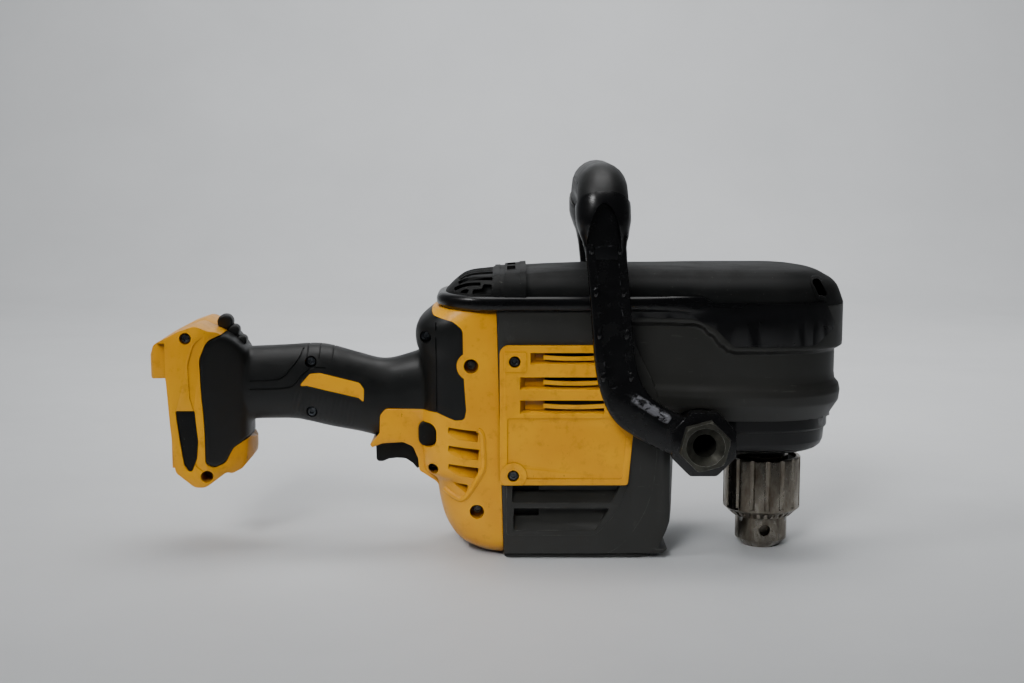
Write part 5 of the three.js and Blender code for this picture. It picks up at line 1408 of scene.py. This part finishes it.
def handleBody():
    # the near half of the handle as one soft form, ended at the seam to the housing
    body = gripSkin("handleBody")
    cut(body, legSkin("leg"), "UNION")
    cut(body, stationBody("flare", handle["flare"], "X", 40, 0.12), "UNION")
    heel = applied(footBody("heel"), "REMESH", mode="VOXEL", voxel_size=handle["voxel"] * mm)
    applied(heel, "SMOOTH", factor=0.5, iterations=foot["soft"])
    heel.data.transform(Matrix.Diagonal((1.0, 1 + foot["proud"] / 40, 1.0, 1.0)))
    cut(heel, outlinePlate("footRubber", foot["rubber"], -60, 60), "INTERSECT")
    cut(body, heel, "UNION")
    applied(body, "REMESH", mode="VOXEL", voxel_size=handle["voxel"] * mm)
    applied(body, "SMOOTH", factor=0.5, iterations=handle["melt"])
    nearHalf(body)
    cut(body, outlinePlate("seamRegion", handle["seam"], -90, 90))
    return cut(body, boxAt("baseRegion", *handle["base"]))


def rubberRegion():
    # where the black skin covers the handle
    region = outlinePlate("rubberRegion", handle["rubber"], -60, 10)
    x, z, radius = handle["boss"]
    cut(region, cylinderAt("boss", (x, -30, z), radius, 90, "Y", 64))
    cut(region, outlinePlate("inlay", handle["inlay"], -70, 20))
    return cut(region, outlinePlate("button", handle["button"], -70, 20))


def pressedLines():
    # creases and grooves in the black skin
    tubes = []
    power = handle["square"]
    x, low, high = handle["shoulderCrease"]
    heights = [low + (high - low) * i / 12 for i in range(13)]
    deep, radius = handle["shoulderTube"]
    tubes.append(surfaceTube("crease", [(x, deep - legHalf(x, z), z) for z in heights], radius))
    deep, radius = handle["creaseTube"]
    for line in handle["creases"]:
        spots = []
        for x, z in smoothLine(line, 4):
            mid, high, half = gripRow(x)
            bulge = max(1 - abs((z - mid) / high) ** power, 0) ** (1 / power)
            spots.append((x, -half * bulge + deep, z))
        tubes.append(surfaceTube("crease", spots, radius))
    deep, radius = handle["grooveTube"]
    for x in handle["topGrooves"]:
        mid, high, half = gripRow(x)
        ys = [-half * 0.8 * i / 8 for i in range(9)]
        spots = [(x, y, mid + high * (1 - abs(y / half) ** power) ** (1 / power) - deep) for y in ys]
        tubes.append(surfaceTube("groove", spots, radius))
    return joined("pressedLines", tubes)


def scoopCutters():
    # slanting hollows in the shell's front, above one another
    cutters = []
    out, *turns = handle["scoopTurn"]
    turn, tilt = [Matrix.Rotation(math.radians(t), 4, axis) for t, axis in zip(turns, "ZY")]
    for rear, front, top in handle["scoops"]:
        profile = [(y, top - down, 0) for y, down in handle["scoopForm"]]
        cutter = outlinePlate("scoop", profile, rear, front, "X")
        cutters.append(turnAbout(cutter, Vector((rear, out, top)) * mm, turn @ tilt))
    return joined("scoops", cutters)


foot = {
    "side": [(-325, 151, 4), (-322, 159.5, 5), (-303, 169.4, 10), (-290, 174, 8), (-281.5, 169.8, 4),
             (-276, 168.6, 5), (-267, 163.6, 8), (-254.4, 151, 8), (-254.4, 98, 3), (-255.4, 86.5, 2),
             (-250.2, 84.2, 1.5), (-253.4, 71.6, 5), (-260.5, 63.6, 6), (-267, 60.8, 3), (-271, 62.2, 3),
             (-285, 52.6, 8), (-293, 52.6, 8), (-307.2, 64, 6), (-310.4, 101, 0), (-312.6, 134.4, 2),
             (-324.6, 134.2, 1.5)],
    "plan": [(-325, -32, 3), (-317.6, -39.8, 4), (-284, -39.8, 18), (-257.5, -20, 14), (-250, 0, 22),
             (-257.5, 20, 14), (-284, 39.8, 18), (-317.6, 39.8, 4), (-325, 32, 3)],
    "hoodSides": [((-330, -50, 130), (-312.8, -34.6, 161)), ((-330, 34.6, 130), (-312.8, 50, 161))],
    "channel": ((-340, -31, -10), (-298, 31, 133)),
    "rail": ((-311, -32, 66), (-306, -27, 126)),
    "rubber": [(-262, 200, 0), (-269, 168, 3), (-282, 162.6, 10), (-287.8, 149, 12), (-287.2, 128, 0),
               (-285.2, 98, 0), (-285, 70, 5), (-279, 66.6, 5), (-271.4, 69.6, 4), (-266, 80, 4),
               (-252.2, 88.4, 3), (-240, 88.5, 0), (-240, 200, 0)],
    "border": [(-262, 180, 0), (-279.3, 169.2, 4), (-291.3, 161, 8), (-296.2, 145, 10), (-295.4, 121, 0),
               (-292.7, 110.4, 4), (-290.2, 90.7, 6), (-290.6, 77.6, 8), (-293, 69.5, 4), (-286, 64, 4),
               (-272, 63, 2), (-240, 80, 0), (-240, 180, 0)],
    "face": -39.8,
    "borderDeep": 1.1,
    "proud": 0.9,
    "soft": 45,
    "hole": (-284.2, 60.8, 4.4),
    "badge": [(-306, 110.4, 1.2), (-292.2, 110.4, 1.2), (-290, 87, 8), (-291.2, 74.6, 4), (-295.8, 62.6, 2),
              (-300.6, 70, 4), (-303.6, 90, 8)],
    "badgeFaces": (-39, -37.6),
    "badgeFloor": -38.4,
    "badgeGap": 0.2,
}


def footBody(name):
    # the battery foot from its side view and plan
    body = outlinePlate(name, foot["side"], -45, 45)
    cut(body, outlinePlate("plan", foot["plan"], 40, 190, "Z"), "INTERSECT")
    for low, high in foot["hoodSides"]:
        cut(body, boxAt("hood", low, high))
    return rimmed(body, 1.5, 30, 3)


def makeHandle():
    # the near half: the yellow shell with its guard, scoops, ridge and foot, and the black skin
    body = handleBody()
    rubber = copyOf(body, "grip_skin_right")
    cut(rubber, rubberRegion(), "INTERSECT")
    cut(rubber, pressedLines())
    yellow = cut(body, rubberRegion())
    guard = outlinePlate("guard", handle["guard"], -handle["guardHalf"], -handle["parting"])
    rimmed(guard, 1.6, 35, 3)
    ridgeLine = smoothLine(handle["ridge"], 4)
    deep, radius = handle["ridgeTube"]
    ridge = surfaceTube("ridge", [(x, deep - legHalf(x, z), z) for x, z in ridgeLine], radius)
    cut(yellow, guard, "UNION")
    cut(yellow, scoopCutters())
    cut(yellow, ridge, "UNION")
    wholeFoot = nearHalf(footBody("foot"))
    cut(wholeFoot, outlinePlate("footRubber", foot["rubber"], -60, 10))
    cut(wholeFoot, outlinePlate("border", foot["border"], -60, foot["face"] + foot["borderDeep"]))
    cut(wholeFoot, boxAt("channel", *foot["channel"]))
    cut(wholeFoot, boxAt("rail", *foot["rail"]), "UNION")
    x, z, radius = foot["hole"]
    cut(wholeFoot, cylinderAt("footHole", (x, -36, z), radius, 34, "Y", 40))
    badgeRoom = grownOutline(foot["badge"], foot["badgeGap"])
    cut(wholeFoot, outlinePlate("badgeRoom", badgeRoom, -60, foot["badgeFloor"]))
    rimmed(wholeFoot, 0.4, 35, 2)
    room = boxAt("triggerRoom", *handle["triggerRoom"])
    cut(yellow, copyOf(room, "room"))
    cut(rubber, room)
    cut(yellow, outlinePlate("button", handle["button"], -70, 20))
    yellow = joined("rear_shell_moulded_right", [yellow, wholeFoot])
    return yellow, rubber


# socket screws: x, seat, z and the radius of the hole in the shell
screws = {
    "spots": {
        "shell_upper_screw": (-87, 37, 145, 5.4),
        "shell_lower_screw": (-83, 33, 35.6, 5.4),
        "shoulder_screw": (-121, 25, 165, 4.4),
        "guard_screw": (-115.8, 15, 66, 4),
        "grip_upper_screw": (-208, 12, 144, 4.4),
        "grip_lower_screw": (-208, 12, 106, 4.4),
        "foot_screw": (-297.4, 35.4, 164.6, 4.3),
    },
    "panel": {"panel_upper_screw": (-55, 46.6, 149), "panel_lower_screw": (-56, 46.6, 64)},
    "head": 3.5,
    "high": 3,
    "socket": (1.9, 3.2),
    "shank": 1.9,
    "shankEnd": 14,
    "shankLeast": 6,
}


def screwHoles():
    # the recesses of the near side's screws
    cutters = []
    for x, seat, z, radius in screws["spots"].values():
        cutters.append(cylinderAt("hole", (x, -seat - 30, z), radius, 60, "Y", 40))
    return joined("holes", cutters)


halves = list(zip(makeHandle(), ("rear_shell", "grip_overmold"), ("rear_shell_moulded", "grip_skin")))
for piece, node, name in halves:
    far = smoothed(mirrored(piece, name + "_left"))
    settle(far, "root", slotOf[node + "_left"], node + "_left")
for piece, node, name in halves:
    cut(piece, screwHoles())
    settle(smoothed(piece), "root", slotOf[node + "_right"], node + "_right")
badge = rimmed(outlinePlate("foot_badge_plate_right", foot["badge"], *foot["badgeFaces"]), 0.35, 35, 2)
settlePair(badge, "foot_badge_plate_{}", "root", slotOf["foot_badge_right"], "foot_badge_{}")


def makeScrew(name, x, seat, z):
    # socket screw in its recess: domed head, hexagon socket and shank
    high = screws["high"]
    screw = cylinderAt(name + "_turned", (x, -seat - high / 2, z), screws["head"], high, "Y", 40)
    rimmed(screw, 0.8, 40, 3)
    cut(screw, cylinderAt("socket", (x, -seat - high, z), *screws["socket"], "Y", 6, 10))
    long = max(seat - screws["shankEnd"], screws["shankLeast"])
    cut(screw, cylinderAt("shank", (x, long / 2 - seat - 1, z), screws["shank"], long, "Y", 20), "UNION")
    return rimmed(screw, 0.15, 40, 1)


for name, (x, seat, z, radius) in screws["spots"].items():
    settle(makeScrew(name, x, seat, z), "root", "screw_steel", name)
for name, (x, seat, z) in screws["panel"].items():
    settlePair(makeScrew(name, x, seat, z), name + "_{}_turned", "root", "screw_steel", name + "_{}")
buttonForm = {"gap": 0.35, "half": 27}
buttonEdge = grownOutline(handle["button"], -buttonForm["gap"])
button = outlinePlate("direction_button_pad", buttonEdge, -buttonForm["half"], buttonForm["half"])
rimmed(button, 2.6, 35, 5)
settle(button, bodyOf["direction_button"], slotOf["direction_button"], "direction_button")


triggerForm = {
    "side": [(-160.4, 92, 1), (-160.4, 77, 0), (-160.2, 66.4, 3), (-155, 66.4, 4), (-150.6, 68.4, 5),
             (-144.5, 69, 6), (-138, 68.6, 6), (-132.6, 65, 5), (-128, 59.4, 1), (-127.6, 67, 3),
             (-129.4, 75, 4), (-134, 82, 0), (-134, 92, 1)],
    "half": 10.6,
}
pull = outlinePlate("trigger_moulded", triggerForm["side"], -triggerForm["half"], triggerForm["half"])
rimmed(pull, 2.2, 40, 5)
settle(pull, bodyOf["trigger"], slotOf["trigger"], "trigger")

bumper = {
    "lumps": [(-274, 172.4, 5.9), (-267.6, 166.2, 4.3), (-261.8, 158.6, 3.9)],
    "half": 6,
    "core": [(-279, 158, 1), (-279, 169, 2), (-270, 171, 2), (-262, 161, 2), (-257.4, 152, 1),
             (-270, 148, 1)],
}
parts = [outlinePlate("bumperCore", bumper["core"], -bumper["half"] + 1, bumper["half"] - 1)]
for x, z, radius in bumper["lumps"]:
    parts.append(cylinderAt("lump", (x, 0, z), radius, 2 * bumper["half"], "Y", 40))
for part in parts:
    rimmed(part, 2.4, 35, 5)
for part in parts[1:]:
    cut(parts[0], part, "UNION")
rimmed(parts[0], 0.4, 40, 1)
parts[0].name = "heel_bumper_moulded"
settle(parts[0], "root", slotOf["heel_bumper"], "heel_bumper")
print("handle made")


# motor housing: the CAD form with new louvres, their raised frame and the long curve over its foot
housing = {
    "face": 47,
    "fill": ((-60, -46.8, 16), (30.5, -37, 56.8)),
    "upper": [(-57, 43, 1.5), (-57, 56, 1), (23.6, 56, 1), (16.4, 43, 2.5)],
    "lower": [(-56, 22, 2), (-56, 39, 1.5), (16, 39, 1.5), (4.6, 22.4, 3)],
    "deep": 8,
    "holes": [((-56.5, -49, 50), (-37, -36, 55.9)), ((-55.5, -49, 31.5), (-37, -36, 38.9))],
    "baffle": ((-60, -36.8, 28), (-34, -36, 58)),
    "frame": [(-61, 18.3, 2), (5, 18.3, 9), (16.2, 30, 30), (22.7, 40.5, 20), (29.6, 56.8, 0),
              (-61, 56.8, 0)],
    "frameHigh": 0.6,
    "arc": [(7, -3, 0), (8.8, 2.2, 8), (22.7, 8.6, 40), (32.4, 20.4, 60), (41.4, 34.8, 70),
            (47.6, 53.7, 90), (50, 78, 40), (49.5, 104, 0), (90, 104, 0), (90, -3, 0)],
    "arcDeep": 0.7,
    "corner": [(20, 4.2, 0), (56, 4.2, 3), (62.9, 12, 6), (62.9, 50, 0), (20, 50, 0)],
    "cornerPlan": [(10, -46.9, 0), (62.9, -46.9, 12), (62.9, 46.9, 12), (10, 46.9, 0)],
    "cornerRear": ((0, -60, 0), (40, 60, 60)),
    "wall": 3,
}


def makeHousing():
    # on both sides: louvres in a raised frame, and the filled lower corner in front; behind the louvre holes
    # a thin black sheet stands in for the shaded inside
    body = mergedCopy("motor_housing", "motor_housing_dressed")
    corner = outlinePlate("corner", housing["corner"], -60, 60)
    cut(corner, outlinePlate("plan", housing["cornerPlan"], 0, 60, "Z"), "INTERSECT")
    wall, face = housing["wall"], housing["face"]
    innerPlan = grownOutline(housing["cornerPlan"], -wall)
    inner = outlinePlate("inner", innerPlan, housing["corner"][0][1] + wall, 60, "Z")
    cut(inner, boxAt("rear", *housing["cornerRear"]), "UNION")
    cut(corner, inner)
    cut(body, corner, "UNION")
    for side in (-1, 1):
        def facing(low, high):
            if side < 0:
                return low, high
            return (low[0], -high[1], low[2]), (high[0], -low[1], high[2])

        def plate(name, corners, near, far):
            return outlinePlate(name, corners, *sorted((-side * near, -side * far)))

        cut(body, boxAt("fill", *facing(*housing["fill"])), "UNION")
        raised = plate("frame", housing["frame"], -face - housing["frameHigh"], 3 - face)
        cut(body, rimmed(raised, 0.4, 35, 2), "UNION")
        for key in ("upper", "lower"):
            corners = housing[key]
            low, high = corners[0][1], corners[1][1]
            deep, out = side * (face - housing["deep"]), side * (face + 3)
            bay = plate("bay", corners, -face - 3, 9 - face)
            profile = [(out, low - 2, 0), (side * 47.2, low - 0.2, 0), (deep, high - 5, 0),
                       (deep, high + 1, 0), (out, high + 1, 0)]
            cut(bay, outlinePlate("wedge", profile, -60, 30, "X"), "INTERSECT")
            cut(body, bay)
        for low, high in housing["holes"]:
            cut(body, boxAt("hole", *facing(low, high)))
        cut(body, plate("arc", housing["arc"], -face - 3, -face + housing["arcDeep"]))
    rimmed(body, 0.6, 35, 2)
    settle(body, "root", slotOf["motor_housing"], "motor_housing")
    # painted shade: a thin black sheet behind the louvre holes stands in for the shaded inside of the housing
    baffle = rimmed(boxAt("louvre_shade_sheet", *housing["baffle"]), 0.3)
    other = mirrored(baffle, "louvreShadeSheetFar")
    settle(joined("louvre_shade_sheet", [baffle, other]), "root", "black_plastic")


caseForm = {
    "rows": [(103.3, 9.9), (96, 10), (95.1, 10.4), (94.4, 11.7), (85, 12.6), (81.4, 14.2), (78.8, 17.2),
             (77, 21.6), (76.2, 28)],
    "wall": 3,
    "floor": 79.6,
    "shaft": 16,
    "rear": 40,
    "behind": ((0, -90, 60), (66, 90, 110)),
    "trim": ((66, -90, 60), (230, 90, 103.3)),
    "bosses": 22.6,
}


def makeGearCase():
    # the CAD casting behind, with the stepped skirt in front turned anew
    def skirt(name, inward, rows):
        # the stepped ring round the case, drawn in by that much
        rings = []
        for z, inset in rows:
            inset += inward
            half, front, nose = [head[k] - inset for k in ("half", "front", "nose")]
            plan = planLine(caseForm["rear"], half, 1, half, front, nose, (2, 30, 24))
            rings.append([(x, y, z) for x, y in plan])
        return loftRings(name, rings)

    rows = caseForm["rows"]
    body = mergedCopy("gear_case", "gear_case_dressed")
    trim = boxAt("trim", *caseForm["trim"])
    cut(trim, pivotBosses(caseForm["bosses"]))
    cut(body, trim)
    ring = skirt("skirt", 0, rows)
    cut(ring, skirt("inner", caseForm["wall"], [(106, rows[0][1]), (caseForm["floor"], rows[4][1])]))
    cut(ring, boxAt("rear", *caseForm["behind"]))
    cut(ring, cylinderAt("shaft", (chuck["x"], 0, 80), caseForm["shaft"], 30, "Z", 48))
    cut(body, ring, "UNION")
    rimmed(body, 0.5, 38, 2)
    return settle(body, "root", slotOf["gear_case"], "gear_case")


makeHousing()
makeGearCase()
print("housing made")


# the base cap keeps its form and gets rounded edges
baseCap = {"edge": 1.5, "sharp": 35}
cap = rimmed(mergedCopy("base_cap", "base_cap_dressed"), baseCap["edge"], baseCap["sharp"], 2)
settle(cap, bodyOf["base_cap"], slotOf["base_cap"], "base_cap")
for nodeName, node in nodes.items():
    node.data.materials.clear()
    node.data.materials.append(finishes[slotOf[nodeName]])
print("pieces made")
